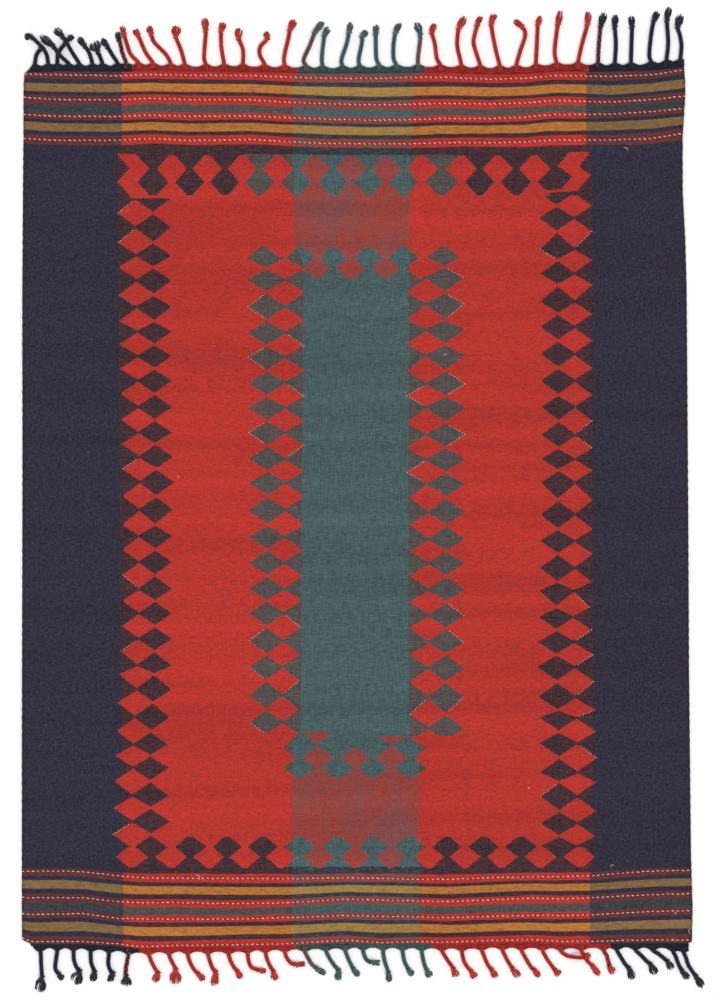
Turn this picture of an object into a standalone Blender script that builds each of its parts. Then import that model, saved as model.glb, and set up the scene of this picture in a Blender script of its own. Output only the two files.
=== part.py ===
"""A flat-woven wool rug lying on the floor: one thin cloth and, at each end, a heading plaited
from the warp ends, cut where the warp changes colour, with braids that end in a knot and a tuft.

Metres, +Z up. +Y runs up the rug's length and +X across it. The underside lies on z = 0 and the
origin is the middle of the whole outline, fringe included. The tables are in millimetres on the
rug's own plan, whose zero is PLAN_MIDDLE away from that origin."""

import math
from collections import namedtuple

import bmesh
import bpy
from mathutils import Vector

MM = 0.001
PLAN_MIDDLE = Vector((1.881, -1.225))
CLOTH_MIDDLE = (-12.0, -18.0)

# Thicknesses and gaps, in millimetres. Two slow waves make the cloth uneven: each is given by how
# far along and how far across the rug it runs for one radian.
CLOTH_THICK = 2.6
CLOTH_SWELL = 0.25
SWELLS = ((61.0, 173.0), (-217.0, 89.0))
HEADING_THICK = 3.6
GAP = 0.4

# Twined rows across the cloth's ends, raised as low ribs.
RIB_HALF = 2.2
RIB_RISE = 0.9

# Braids: four-sided, turned an eighth of a turn at each ring. Half sizes, in millimetres.
ROOT_HALF = 3.5
ROOT_PROUD = 4.0
BRAID_WIDE = 4.1
BRAID_TALL = 2.7
KNOT_WIDE = 5.4
KNOT_TALL = 3.4
TUFT_TALL = 2.6
TIP_TALL = 1.1
TIP_TAPER = 0.75
KNOT_NECK = 5.5
RING_STEP = 9.0
PATH_STEP = 2.0
WAY_REACH = 4.0
TWIST = math.radians(45)

# A tuft longer than LONG_TUFT has a neck. Both places are shares of the way from knot to tip.
LONG_TUFT = 16.0
TUFT_NECK = 0.35
TUFT_WIDEST = 0.7

# A braid that crosses another climbs over it. LIFTED_STEP is its finer ring spacing.
HOP_RISE = 7.2
HOP_REACH = 9.0
HOP_SLOPE = 13.0
LIFTED_STEP = 4.5

# The grid that carries the cloth's top face, and the side edges that space its columns.
COLUMNS = 26
FIELD_ROWS = 12
MEAN_WEST = -611.0
MEAN_EAST = 586.0

# Side edges: place along the rug, west edge, east edge.
WEST, EAST = 1, 2
SIDES = (
    (-800.0, -611.5, 593.5),
    (-740.0, -612.0, 595.0),
    (-640.0, -612.0, 592.0),
    (-300.0, -611.5, 588.5),
    (0.0, -611.0, 587.0),
    (385.0, -611.0, 584.2),
    (466.0, -610.5, 581.8),
    (554.0, -610.0, 577.0),
    (650.0, -609.0, 577.0),
    (720.0, -609.0, 581.5),
    (750.0, -608.5, 582.0),
    (770.0, -606.5, 580.0),
)

# Lines across each end, which wander as the weft was beaten in: place across the rug, the cloth's
# end, then the four twined rows from the end inwards.
CLOTH_END = 1
TWINED = (2, 3, 4, 5)
NORTH_LINES = (
    (-612.0, 767.5, 764.5, 722.5, 692.0, 648.5),
    (-550.0, 769.3, 763.3, 718.7, 688.6, 645.4),
    (-450.0, 768.3, 761.5, 718.0, 688.2, 645.4),
    (-380.0, 769.5, 763.9, 721.0, 690.6, 648.8),
    (-310.0, 768.0, 762.5, 718.7, 688.6, 645.0),
    (-200.0, 767.0, 761.9, 718.3, 689.2, 647.0),
    (-130.0, 765.0, 758.9, 714.0, 686.2, 643.0),
    (-60.0, 764.5, 757.0, 711.3, 683.6, 639.8),
    (20.0, 764.5, 756.9, 709.3, 681.6, 639.0),
    (90.0, 765.5, 758.5, 710.3, 682.6, 639.0),
    (150.0, 765.5, 758.9, 711.7, 684.8, 641.4),
    (230.0, 762.5, 755.3, 710.7, 684.4, 641.0),
    (300.0, 763.5, 756.9, 713.0, 687.0, 642.4),
    (350.0, 767.5, 761.9, 717.0, 691.6, 645.8),
    (450.0, 768.5, 760.3, 714.0, 692.2, 645.8),
    (530.0, 771.0, 763.5, 719.0, 697.2, 648.6),
    (584.0, 776.5, 772.0, 725.0, 702.5, 657.5),
)
SOUTH_LINES = (
    (-613.0, -792.0, -788.5, -745.5, -716.0, -669.5),
    (-595.0, -800.8, -796.0, -747.5, -717.3, -669.5),
    (-540.0, -801.2, -796.0, -746.4, -717.3, -669.0),
    (-500.0, -801.0, -796.2, -745.8, -717.3, -670.7),
    (-440.0, -804.7, -800.0, -754.3, -724.0, -677.6),
    (-400.0, -809.0, -805.3, -755.0, -726.3, -681.2),
    (-340.0, -807.5, -803.3, -755.5, -725.7, -682.2),
    (-240.0, -806.0, -801.8, -755.5, -727.8, -682.6),
    (-140.0, -804.5, -800.0, -753.0, -726.3, -683.0),
    (-80.0, -800.8, -796.4, -751.0, -722.7, -682.2),
    (-30.0, -798.4, -794.0, -749.0, -719.7, -681.2),
    (30.0, -802.0, -798.2, -750.6, -721.3, -682.2),
    (90.0, -800.4, -796.2, -751.4, -722.7, -684.2),
    (150.0, -801.0, -797.0, -753.0, -724.0, -684.2),
    (220.0, -798.7, -794.4, -750.8, -721.3, -681.4),
    (300.0, -797.0, -792.6, -749.0, -717.7, -679.6),
    (350.0, -800.0, -795.6, -749.0, -719.3, -679.2),
    (410.0, -800.6, -795.6, -748.0, -717.0, -677.6),
    (450.0, -799.2, -794.2, -745.0, -714.9, -674.0),
    (510.0, -798.6, -793.0, -742.0, -711.7, -669.5),
    (580.0, -798.8, -793.4, -740.4, -709.7, -667.7),
    (596.0, -794.5, -790.5, -741.0, -709.5, -667.5),
)

# Outer edge of the heading between two braids: place across the rug, edge. It stands out further
# at each root.
EDGE = 1
NORTH_RIM = (
    (-592.0, 778.0),
    (-550.0, 779.5),
    (-500.0, 778.5),
    (-430.0, 780.0),
    (-390.0, 781.0),
    (-300.0, 778.0),
    (-230.0, 779.0),
    (-118.0, 776.5),
    (-50.0, 775.3),
    (85.0, 778.0),
    (160.0, 777.5),
    (230.0, 775.5),
    (297.0, 777.0),
    (331.0, 780.6),
    (370.0, 782.4),
    (441.0, 780.4),
    (500.0, 781.4),
    (560.0, 787.0),
    (580.0, 788.0),
)
SOUTH_RIM = (
    (-586.0, -811.0),
    (-562.0, -808.0),
    (-506.0, -809.0),
    (-441.0, -813.5),
    (-402.0, -817.0),
    (-330.0, -815.0),
    (-225.0, -815.0),
    (-190.0, -812.5),
    (-120.0, -811.0),
    (-46.0, -809.0),
    (-13.0, -807.5),
    (124.0, -809.0),
    (197.0, -809.5),
    (233.0, -807.5),
    (378.0, -809.0),
    (474.0, -807.0),
    (540.0, -808.0),
    (570.0, -811.5),
    (586.0, -812.0),
)

# Braids: root across the rug, bends, knot, tip, half width of the tuft, and how far along a
# crossing lies, or None. All are (across, along) places on the plan.
Braid = namedtuple("Braid", "root bends knot tip tuft crossing")
NORTH_BRAIDS = (
    (-588.5, ((-585, 800),), (-576, 810.5), (-570, 811.5), 3.0, None),
    (-564.5, ((-567.5, 800), (-575, 812), (-585, 822)), (-595, 831), (-608, 833), 5.0, 34.0),
    (-548.0, ((-547.5, 798), (-543, 808), (-532, 822)), (-526, 828), (-519.5, 835), 4.0, None),
    (-527.5, ((-539, 793), (-547, 802)), (-556, 815), (-580, 834), 6.0, 25.0),
    (-508.5, ((-520.5, 802), (-531.5, 821)), (-540, 833), (-553, 847), 6.0, 43.0),
    (-485.0, ((-488, 795), (-492.5, 806)), (-499.5, 816), (-511, 831.5), 5.0, None),
    (-467.0, ((-471, 795),), (-475.5, 805), (-484, 824), 10.0, None),
    (-439.5, ((-448, 797),), (-459, 815), (-470, 829), 5.0, None),
    (-424.0, ((-431, 802), (-434, 816)), (-437.5, 828), (-441, 841), 4.0, None),
    (-402.0, ((-416, 800), (-424, 822)), (-428, 836), (-433, 852), 4.5, None),
    (-376.0, ((-389, 803), (-400, 828)), (-403, 835), (-411, 846), 5.0, None),
    (-344.0, ((-353, 800), (-374, 822)), (-379, 837), (-384, 852), 5.0, None),
    (-319.0, ((-325, 806),), (-335, 833), (-333, 852), 8.0, None),
    (-281.0, ((-284, 795), (-281, 835)), (-281, 844), (-284, 866), 6.0, None),
    (-248.0, ((-253, 815),), (-253, 843), (-249, 858), 6.0, None),
    (-214.0, ((-214, 808),), (-222, 830), (-220, 848), 6.0, None),
    (-175.0, ((-184, 800), (-182, 815)), (-170, 828), (-175, 841), 5.0, None),
    (-139.0, ((-140, 795), (-132, 830)), (-129, 845), (-121, 863), 6.0, None),
    (-101.0, ((-105, 790), (-94, 815)), (-84, 840), (-69, 860), 5.0, None),
    (-71.0, ((-72, 795),), (-67, 835), (-59, 849), 5.0, None),
    (-35.0, ((-37, 790), (-28, 817)), (-23, 840), (-20, 859), 5.0, None),
    (-4.0, ((-6, 790), (0, 820)), (1, 833), (10, 842), 5.0, None),
    (31.0, ((26, 792), (25, 820)), (25, 838), (26, 854), 5.0, None),
    (62.0, ((57, 792), (57, 818)), (61, 840), (69, 858), 5.0, None),
    (101.0, ((101, 795),), (105, 836), (95, 857), 6.0, None),
    (141.0, ((135, 792), (131, 820)), (126, 840), (132, 856), 5.0, None),
    (179.0, ((172, 812), (172, 830)), (175, 848), (186, 869), 6.0, None),
    (213.0, ((204, 808), (201, 825)), (208, 853), (215, 869), 5.0, None),
    (248.0, ((240, 812),), (233, 855), (240, 874), 5.0, None),
    (278.0, ((285, 806), (294, 835)), (288, 850), (273, 861), 5.0, None),
    (313.0, ((315, 820),), (317, 855), (322, 869), 5.0, None),
    (350.0, ((347, 800), (348, 820)), (353, 855), (358, 880), 5.0, None),
    (389.0, ((396, 818),), (406, 855), (407, 878), 5.0, None),
    (425.0, ((426, 812),), (430, 852), (437, 876), 6.0, None),
    (455.0, ((457, 818),), (455, 850), (456, 872), 5.0, None),
    (484.0, ((485, 820),), (486, 850), (484, 870), 5.0, None),
    (520.0, ((517, 800), (521, 840)), (526, 862), (533, 878), 5.0, None),
    (548.0, ((551, 820),), (549, 862), (553, 886), 5.0, None),
    (573.0, ((575, 815), (572, 835)), (568, 850), (575, 873), 6.0, None),
)
SOUTH_BRAIDS = (
    (-578.0, ((-577, -840),), (-576, -862), (-581, -888), 9.0, None),
    (-548.0, ((-550.5, -830), (-551.5, -846)), (-544, -857), (-539, -866), 5.0, None),
    (-519.0, ((-518, -830), (-513.5, -843)), (-508, -851), (-518, -873), 10.0, None),
    (-488.0, ((-487, -835),), (-481, -853), (-487, -868), 6.0, None),
    (-455.0, ((-456.5, -835), (-453, -848)), (-448, -855), (-457, -869), 5.0, None),
    (-420.0, ((-422, -830), (-425, -848)), (-424.5, -860), (-423.5, -877), 10.0, None),
    (-383.0, ((-379, -832), (-372.5, -845)), (-367, -855), (-376, -869), 6.0, None),
    (-347.0, ((-343.5, -830), (-337, -842)), (-335, -849), (-337, -874), 10.0, None),
    (-313.5, ((-310, -832), (-302, -847)), (-292.5, -857), (-284, -867), 5.0, None),
    (-277.0, ((-273.5, -832), (-268.5, -845)), (-263, -853), (-267.5, -877), 6.0, None),
    (-240.0, ((-236, -832), (-230, -843)), (-223, -852), (-218, -864), 5.0, None),
    (-205.5, ((-204, -830), (-199.5, -842), (-189, -847)), (-181, -849), (-172, -849), 4.0, None),
    (-173.5, ((-170, -830), (-164.5, -842)), (-158.5, -853), (-157, -867), 6.0, None),
    (-138.5, ((-135.5, -825), (-128, -835)), (-117, -838), (-101, -836), 4.0, None),
    (-102.5, ((-97, -826), (-89.5, -838)), (-80, -846), (-65, -855), 5.0, None),
    (-64.5, ((-57.5, -828), (-48.5, -841)), (-41.5, -850), (-44.5, -867), 6.0, None),
    (-30.0, ((-25.5, -825), (-19.5, -838)), (-14, -848), (-5, -859), 5.0, None),
    (2.0, ((4.5, -822), (10, -831)), (21, -834.5), (34, -834), 4.0, None),
    (38.0, ((40.5, -830),), (48, -855), (48, -870), 5.0, None),
    (73.0, ((76, -830), (80, -840)), (85, -849), (92, -858), 5.0, None),
    (107.5, ((110.5, -830), (114, -842)), (117.5, -850), (124, -861), 6.0, None),
    (144.0, ((152, -827), (161, -840)), (165.5, -848), (170, -861), 6.0, None),
    (180.0, ((183, -830), (189.5, -842)), (198, -852), (204, -863), 6.0, None),
    (216.0, ((222, -828), (227.5, -840)), (234.5, -849), (242, -863), 5.0, None),
    (253.0, ((260.5, -828),), (272, -847), (283, -862), 6.0, None),
    (287.0, ((295.5, -828), (304, -842)), (312, -850), (319, -861), 5.0, None),
    (325.0, ((332.5, -827), (341.5, -840)), (349, -850), (357, -857), 6.0, None),
    (357.5, ((364, -819), (373, -823), (387, -824)), (400, -824), (413, -821), 5.0, 43.0),
    (395.0, ((399, -820), (404, -829), (410, -836)), (416, -842), (428, -858), 5.0, None),
    (434.5, ((440.5, -822), (444, -835)), (446, -843), (454, -855), 6.0, None),
    (458.5, ((465, -823), (473.5, -837)), (481, -846), (488, -865), 6.0, None),
    (492.0, ((502, -821), (512.5, -832)), (520, -839), (529, -856), 7.0, None),
    (523.0, ((534, -819), (545, -828)), (551, -834), (558.5, -847), 6.0, None),
    (560.0, ((564.5, -823), (570, -838)), (577, -851), (588, -865), 5.0, None),
    (579.0, ((583, -825), (588, -840)), (602, -861), (613, -880), 6.0, None),
)

# Warp colours and how each end's heading is shared among them: name, colour, west, east.
NAVY = (0.019, 0.021, 0.045)
RED = (0.42, 0.028, 0.022)
GREEN = (0.05, 0.12, 0.115)
NORTH_BLOCKS = (
    ("navy_west", NAVY, -604.0, -414.0),
    ("red_west", RED, -414.0, -117.0),
    ("green", GREEN, -117.0, 112.0),
    ("red_east", RED, 112.0, 408.0),
    ("navy_east", NAVY, 408.0, 580.0),
)
SOUTH_BLOCKS = (
    ("navy_west", NAVY, -604.0, -402.0),
    ("red_west", RED, -402.0, -118.0),
    ("green", GREEN, -118.0, 125.0),
    ("red_east", RED, 125.0, 447.0),
    ("navy_east", NAVY, 447.0, 592.0),
)


def between(table, place, column):
    """Reads one column of a table at a place along its first column, by straight lines."""
    if place <= table[0][0]:
        return table[0][column]
    for before, after in zip(table, table[1:]):
        if place <= after[0]:
            share = (place - before[0]) / (after[0] - before[0])
            return before[column] + (after[column] - before[column]) * share
    return table[-1][column]


def smooth_step(value):
    value = min(max(value, 0.0), 1.0)
    return value * value * (3 - 2 * value)


def wool(name, colour):
    material = bpy.data.materials.new(name)
    material.use_nodes = True
    shader = material.node_tree.nodes["Principled BSDF"]
    shader.inputs["Base Color"].default_value = (*colour, 1)
    shader.inputs["Roughness"].default_value = 0.95
    shader.inputs["Metallic"].default_value = 0.0
    return material


def place_object(name, bm, middle, material, parent):
    """Makes an object whose origin is at middle, from a bmesh drawn on the plan in millimetres."""
    bmesh.ops.recalc_face_normals(bm, faces=bm.faces)
    bmesh.ops.translate(bm, verts=bm.verts, vec=-Vector((*middle, 0.0)))
    bmesh.ops.scale(bm, verts=bm.verts, vec=(MM, MM, MM))
    mesh = bpy.data.meshes.new(name)
    bm.to_mesh(mesh)
    bm.free()
    mesh.materials.append(material)
    piece = bpy.data.objects.new(name, mesh)
    bpy.context.scene.collection.objects.link(piece)
    piece.parent = parent
    piece.location = (*((Vector(middle) - PLAN_MIDDLE) * MM), 0.0)
    return piece


def cloth_rows():
    """Rows of the cloth's top face, north to south: its place at a column, and its rise."""
    rows = []
    for lines, inwards in ((NORTH_LINES, -1), (SOUTH_LINES, 1)):
        end = [(lines, CLOTH_END, 0.0, 0.0)]
        for twined in TWINED:
            end.append((lines, twined, -inwards * RIB_HALF, 0.0))
            end.append((lines, twined, 0.0, RIB_RISE))
            end.append((lines, twined, inwards * RIB_HALF, 0.0))
        rows.append(end)
    return rows[0], rows[1][::-1]


def row_place(row, share):
    """Where a row crosses a column of the cloth's grid, as (across, along)."""
    lines, column, offset, _ = row
    across = MEAN_WEST + (MEAN_EAST - MEAN_WEST) * share
    along = between(lines, across, column) + offset
    west = between(SIDES, along, WEST)
    east = between(SIDES, along, EAST)
    return west + (east - west) * share, along


def cloth_end(lines):
    """The points of the cloth's edge at one end, west to east."""
    row = (lines, CLOTH_END, 0.0, 0.0)
    return [row_place(row, number / COLUMNS) for number in range(COLUMNS + 1)]


def weave_cloth(parent):
    north, south = cloth_rows()
    field = [step / FIELD_ROWS for step in range(1, FIELD_ROWS)]
    count = len(north) + len(field) + len(south)
    bm = bmesh.new()
    bmesh.ops.create_grid(bm, x_segments=COLUMNS, y_segments=count - 1, size=1.0)
    for vert in bm.verts:
        share = (vert.co.x + 1) / 2
        number = round((1 - vert.co.y) / 2 * (count - 1))
        rise = 0.0
        if number < len(north):
            across, along = row_place(north[number], share)
            rise = north[number][3]
        elif number < len(north) + len(field):
            step = field[number - len(north)]
            top = row_place(north[-1], share)[1]
            along = top + (row_place(south[0], share)[1] - top) * step
            west = between(SIDES, along, WEST)
            across = west + (between(SIDES, along, EAST) - west) * share
        else:
            row = south[number - len(north) - len(field)]
            across, along = row_place(row, share)
            rise = row[3]
        swell = sum(math.sin(along / length + across / width) for length, width in SWELLS)
        vert.co = (across, along, CLOTH_THICK + CLOTH_SWELL * swell + rise)
    rim = [edge for edge in bm.edges if edge.is_boundary]
    drawn = bmesh.ops.extrude_edge_only(bm, edges=rim)["geom"]
    for vert in (part for part in drawn if isinstance(part, bmesh.types.BMVert)):
        vert.co.z = 0.0
    under = [part for part in drawn if isinstance(part, bmesh.types.BMEdge) and part.is_boundary]
    bmesh.ops.contextual_create(bm, geom=under)
    place_object("kilim_cloth", bm, CLOTH_MIDDLE, wool("woven wool", RED), parent)


def smooth_path(points, step):
    """A curve through the points, as places a step apart or closer."""
    ends = [2 * points[0] - points[1], *points, 2 * points[-1] - points[-2]]
    path = [points[0]]
    for before, start, end, after in zip(ends, ends[1:], ends[2:], ends[3:]):
        count = math.ceil((end - start).length / step)
        for number in range(1, count + 1):
            t = number / count
            path.append(
                0.5
                * (
                    2 * start
                    + (end - before) * t
                    + (2 * before - 5 * start + 4 * end - after) * t * t
                    + (3 * start - before - 3 * end + after) * t**3
                )
            )
    return path


def path_lengths(path):
    lengths = [0.0]
    for start, end in zip(path, path[1:]):
        lengths.append(lengths[-1] + (end - start).length)
    return lengths


def place_at(path, lengths, distance):
    """The place on a path at a distance from its root."""
    for number, reached in enumerate(lengths[1:], 1):
        if distance <= reached or number == len(lengths) - 1:
            share = (distance - lengths[number - 1]) / (reached - lengths[number - 1])
            return path[number - 1].lerp(path[number], share)


def way_at(path, lengths, distance):
    """The way that a path runs at a distance, read over WAY_REACH each side."""
    ahead = place_at(path, lengths, min(distance + WAY_REACH, lengths[-1]))
    return (ahead - place_at(path, lengths, max(distance - WAY_REACH, 0.0))).normalized()


def hop_height(distance, crossing):
    """How far a braid that climbs over another stands off the floor."""
    if crossing is None:
        return 0.0
    beyond = abs(distance - crossing) - HOP_REACH
    return HOP_RISE * smooth_step(1 - beyond / HOP_SLOPE)


def braid_rings(braid, start):
    """Distances along one braid, each with the half width and half height of its section."""
    points = [Vector(place) for place in (start, *braid.bends, braid.knot, braid.tip)]
    path = smooth_path(points, PATH_STEP)
    lengths = path_lengths(path)
    knot_at = min(zip(path, lengths), key=lambda pair: (pair[0] - points[-2]).length)[1]
    end_at = lengths[-1]
    neck_at = knot_at - KNOT_NECK
    step = RING_STEP if braid.crossing is None else LIFTED_STEP
    count = math.ceil(neck_at / step)
    rings = [(neck_at * n / count, BRAID_WIDE, BRAID_TALL) for n in range(1, count + 1)]
    rings.append((knot_at, KNOT_WIDE, KNOT_TALL))
    past = end_at - knot_at
    if past > LONG_TUFT:
        rings.append((knot_at + past * TUFT_NECK, (BRAID_WIDE + braid.tuft) / 2, BRAID_TALL))
    rings.append((knot_at + past * TUFT_WIDEST, braid.tuft, TUFT_TALL))
    rings.append((end_at, braid.tuft * TIP_TAPER, TIP_TALL))
    return path, lengths, rings


def grow_braid(bm, face, braid, root_along):
    """Draws one braid out of its root face, one extrusion for each ring of four corners."""
    path, lengths, rings = braid_rings(braid, (braid.root, root_along))
    outwards = Vector((0.0, math.copysign(1.0, root_along)))
    across = Vector((outwards.y, -outwards.x))
    middle = face.calc_center_median()
    corners = []
    for vert in face.verts:
        off = vert.co - middle
        corners.append((math.atan2(off.z, off.xy.dot(across)), vert.co.copy()))
    corners = [
        (math.radians(45 + 90 * round((math.degrees(angle) - 45) / 90)), place)
        for angle, place in corners
    ]
    # The last two rings lie flat, so that the tuft spreads on the floor.
    flat_turn = TWIST * 2 * math.ceil((len(rings) - 3) / 2)
    for number, (distance, wide, tall) in enumerate(rings):
        face = bmesh.ops.extrude_discrete_faces(bm, faces=[face])["faces"][0]
        centre = place_at(path, lengths, distance)
        way = way_at(path, lengths, distance)
        side = Vector((way.y, -way.x))
        turn = TWIST * number if number < len(rings) - 2 else flat_turn
        lowest = min(math.sin(angle + turn) for angle, _ in corners)
        lift = hop_height(distance, braid.crossing) - lowest * tall
        moved = []
        for vert in face.verts:
            angle = min(corners, key=lambda corner: (corner[1] - vert.co).length)[0]
            place = centre + side * (wide * math.cos(angle + turn))
            place = Vector((*place, lift + tall * math.sin(angle + turn)))
            moved.append((vert, angle, place))
        for vert, _, place in moved:
            vert.co = place
        corners = [(angle, place) for _, angle, place in moved]


def heading_outline(lines, rim, braids, west, east, outwards):
    """The plan of one block of the heading: along the cloth's end, then back by the roots."""
    edge = cloth_end(lines)
    inner = [west, *(x for x, _ in edge if west < x < east), east]
    outline = [(x, between(edge, x, CLOTH_END) + outwards * GAP) for x in inner]
    roots = [braid.root for braid in braids]
    dips = [(before + after) / 2 for before, after in zip(roots, roots[1:])]
    first = max(west, rim[0][0])
    last = min(east, rim[-1][0])
    outer = []
    for dip, root in zip([first, *dips], roots):
        outer.append((dip, between(rim, dip, EDGE)))
        proud = between(rim, root, EDGE) + outwards * ROOT_PROUD
        outer.append((root - ROOT_HALF, proud))
        outer.append((root + ROOT_HALF, proud))
    outer.append((last, between(rim, last, EDGE)))
    return outline + outer[::-1]


def plait_heading(end, lines, rim, braids, block, outwards, parent):
    name, colour, west, east = block
    mine = [Braid(*row) for row in braids if west < row[0] < east]
    west += GAP / 2
    east -= GAP / 2
    outline = heading_outline(lines, rim, mine, west, east, outwards)
    bm = bmesh.new()
    base = bm.faces.new([bm.verts.new((x, y, 0.0)) for x, y in outline])
    raised = bmesh.ops.extrude_face_region(bm, geom=[base])["geom"]
    top = [part for part in raised if isinstance(part, bmesh.types.BMVert)]
    bmesh.ops.translate(bm, verts=top, vec=(0.0, 0.0, HEADING_THICK))
    bmesh.ops.recalc_face_normals(bm, faces=bm.faces)
    for braid in mine:
        root_along = between(rim, braid.root, EDGE) + outwards * ROOT_PROUD
        root = Vector((braid.root, root_along, HEADING_THICK / 2))
        face = min(bm.faces, key=lambda side: (side.calc_center_median() - root).length)
        grow_braid(bm, face, braid, root_along)
    middle = ((west + east) / 2, between(lines, (west + east) / 2, CLOTH_END))
    title = f"{end}_heading_{name}"
    place_object(title, bm, middle, wool(f"{name} wool {end}", colour), parent)


def main():
    for old in list(bpy.data.objects):
        bpy.data.objects.remove(old, do_unlink=True)
    rug = bpy.data.objects.new("kilim", None)
    bpy.context.scene.collection.objects.link(rug)
    weave_cloth(rug)
    for block in NORTH_BLOCKS:
        plait_heading("north", NORTH_LINES, NORTH_RIM, NORTH_BRAIDS, block, 1, rug)
    for block in SOUTH_BLOCKS:
        plait_heading("south", SOUTH_LINES, SOUTH_RIM, SOUTH_BRAIDS, block, -1, rug)


main()
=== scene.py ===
# %% [markdown]
# # A kilim laid on the floor
# A kilim is a flat-woven wool rug. This one is a single plain-woven cloth whose warp changes
# colour five times across its width. Each end has three striped bands between four twined rows,
# then a plaited heading and a fringe of thin braids. We load the CAD model as a fixed frame first,
# so that every piece we make lies exactly where its solid lies, in metres.

# %% Load the frame
import math
import random
from collections import namedtuple

import bpy
from mathutils import Matrix, Vector


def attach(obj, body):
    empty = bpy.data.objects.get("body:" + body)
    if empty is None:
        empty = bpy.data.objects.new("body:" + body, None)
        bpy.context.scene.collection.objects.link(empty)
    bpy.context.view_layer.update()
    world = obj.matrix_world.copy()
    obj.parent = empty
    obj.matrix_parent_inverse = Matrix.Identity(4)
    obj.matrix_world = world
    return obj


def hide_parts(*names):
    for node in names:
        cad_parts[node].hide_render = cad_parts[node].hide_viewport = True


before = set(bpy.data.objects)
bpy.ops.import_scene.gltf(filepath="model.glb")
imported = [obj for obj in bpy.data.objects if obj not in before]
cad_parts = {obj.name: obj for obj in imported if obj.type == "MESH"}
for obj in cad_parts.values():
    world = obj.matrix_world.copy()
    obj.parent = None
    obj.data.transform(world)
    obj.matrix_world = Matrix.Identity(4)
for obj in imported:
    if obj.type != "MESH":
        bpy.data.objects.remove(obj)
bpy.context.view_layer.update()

# %% [markdown]
# The rug was drawn on its own plan, in millimetres, and its middle is a little off that plan's
# zero. One step of the weaver's chart is 1.8 mm. These helpers turn chart steps into plan
# millimetres, and plan millimetres into the metres of the scene.

# %% Measure on the plan
MM = 0.001
STEP = 1.8
PLAN_MIDDLE = (1.881, -1.225)
CHART_MIDDLE = (362.0, 499.0)


def place(across, along, height=0.0):
    """A place on the plan, in millimetres, as a point of the scene."""
    return Vector((across - PLAN_MIDDLE[0], along - PLAN_MIDDLE[1], height)) * MM


def along_of(row):
    """How far up the plan a row of the chart lies."""
    return (CHART_MIDDLE[1] - row) * STEP


def between(table, where, column=1):
    """Reads one column of a table at a place along its first column, by straight lines."""
    if where <= table[0][0]:
        return table[0][column]
    for before, after in zip(table, table[1:]):
        if where <= after[0]:
            share = (where - before[0]) / (after[0] - before[0])
            return before[column] + (after[column] - before[column]) * share
    return table[-1][column]


def smooth_step(value):
    value = min(max(value, 0.0), 1.0)
    return value * value * (3 - 2 * value)


# %% [markdown]
# The photo was taken from straight above with a long lens, so the camera hangs 6 m up and looks
# down. The lens and the 36 mm film side together take in 1.8 m. The floor is plain and nearly
# white. One wide soft light from the upper left gives the braids the faint shadows of the photo,
# and an even white sky fills them.

# %% Set the camera
camera_data = bpy.data.cameras.new("camera")
camera_data.sensor_width = 36.0
camera_data.lens = 120.0
camera = bpy.data.objects.new("camera", camera_data)
camera.location = (-0.00908, -0.00058, 6.0)
bpy.context.scene.collection.objects.link(camera)
bpy.context.scene.camera = camera
bpy.context.scene.view_settings.view_transform = "Standard"
bpy.context.scene.view_settings.look = "None"
print("camera takes in", 6.0 * 36 / 120, "m")


# %% Lay the floor and light it
def deselect():
    bpy.ops.object.select_all(action="DESELECT")


deselect()
bpy.ops.mesh.primitive_plane_add(size=14.0, location=(0.0, 0.0, 0.0))
floor = bpy.context.object
floor.name = "floor"
bpy.ops.object.mode_set(mode="EDIT")
bpy.ops.mesh.subdivide(number_cuts=3)
bpy.ops.object.mode_set(mode="OBJECT")
floor_paint = bpy.data.materials.new("floor_paint")
floor_paint.use_nodes = True
floor_shader = floor_paint.node_tree.nodes["Principled BSDF"]
floor_shader.inputs["Base Color"].default_value = (0.965, 0.965, 0.96, 1)
floor_shader.inputs["Roughness"].default_value = 0.9
floor_shader.inputs["Specular IOR Level"].default_value = 0.1
floor.data.materials.append(floor_paint)

sky = bpy.data.worlds.new("sky")
sky.use_nodes = True
sky.node_tree.nodes["Background"].inputs["Color"].default_value = (1.0, 1.0, 1.0, 1)
sky.node_tree.nodes["Background"].inputs["Strength"].default_value = 0.78
bpy.context.scene.world = sky
lamp_data = bpy.data.lights.new("window", "SUN")
lamp_data.energy = 1.15
lamp_data.angle = math.radians(22)
lamp = bpy.data.objects.new("window", lamp_data)
lamp.rotation_euler = (math.radians(38), 0.0, math.radians(35))
bpy.context.scene.collection.objects.link(lamp)

# %% [markdown]
# ## Measurements of the cloth
# The side edges and the twined rows wander, because wool is beaten in by hand and gives. The
# tables hold a few places along each line, in plan millimetres. The cloth's solid was drawn from
# the same numbers.

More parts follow.
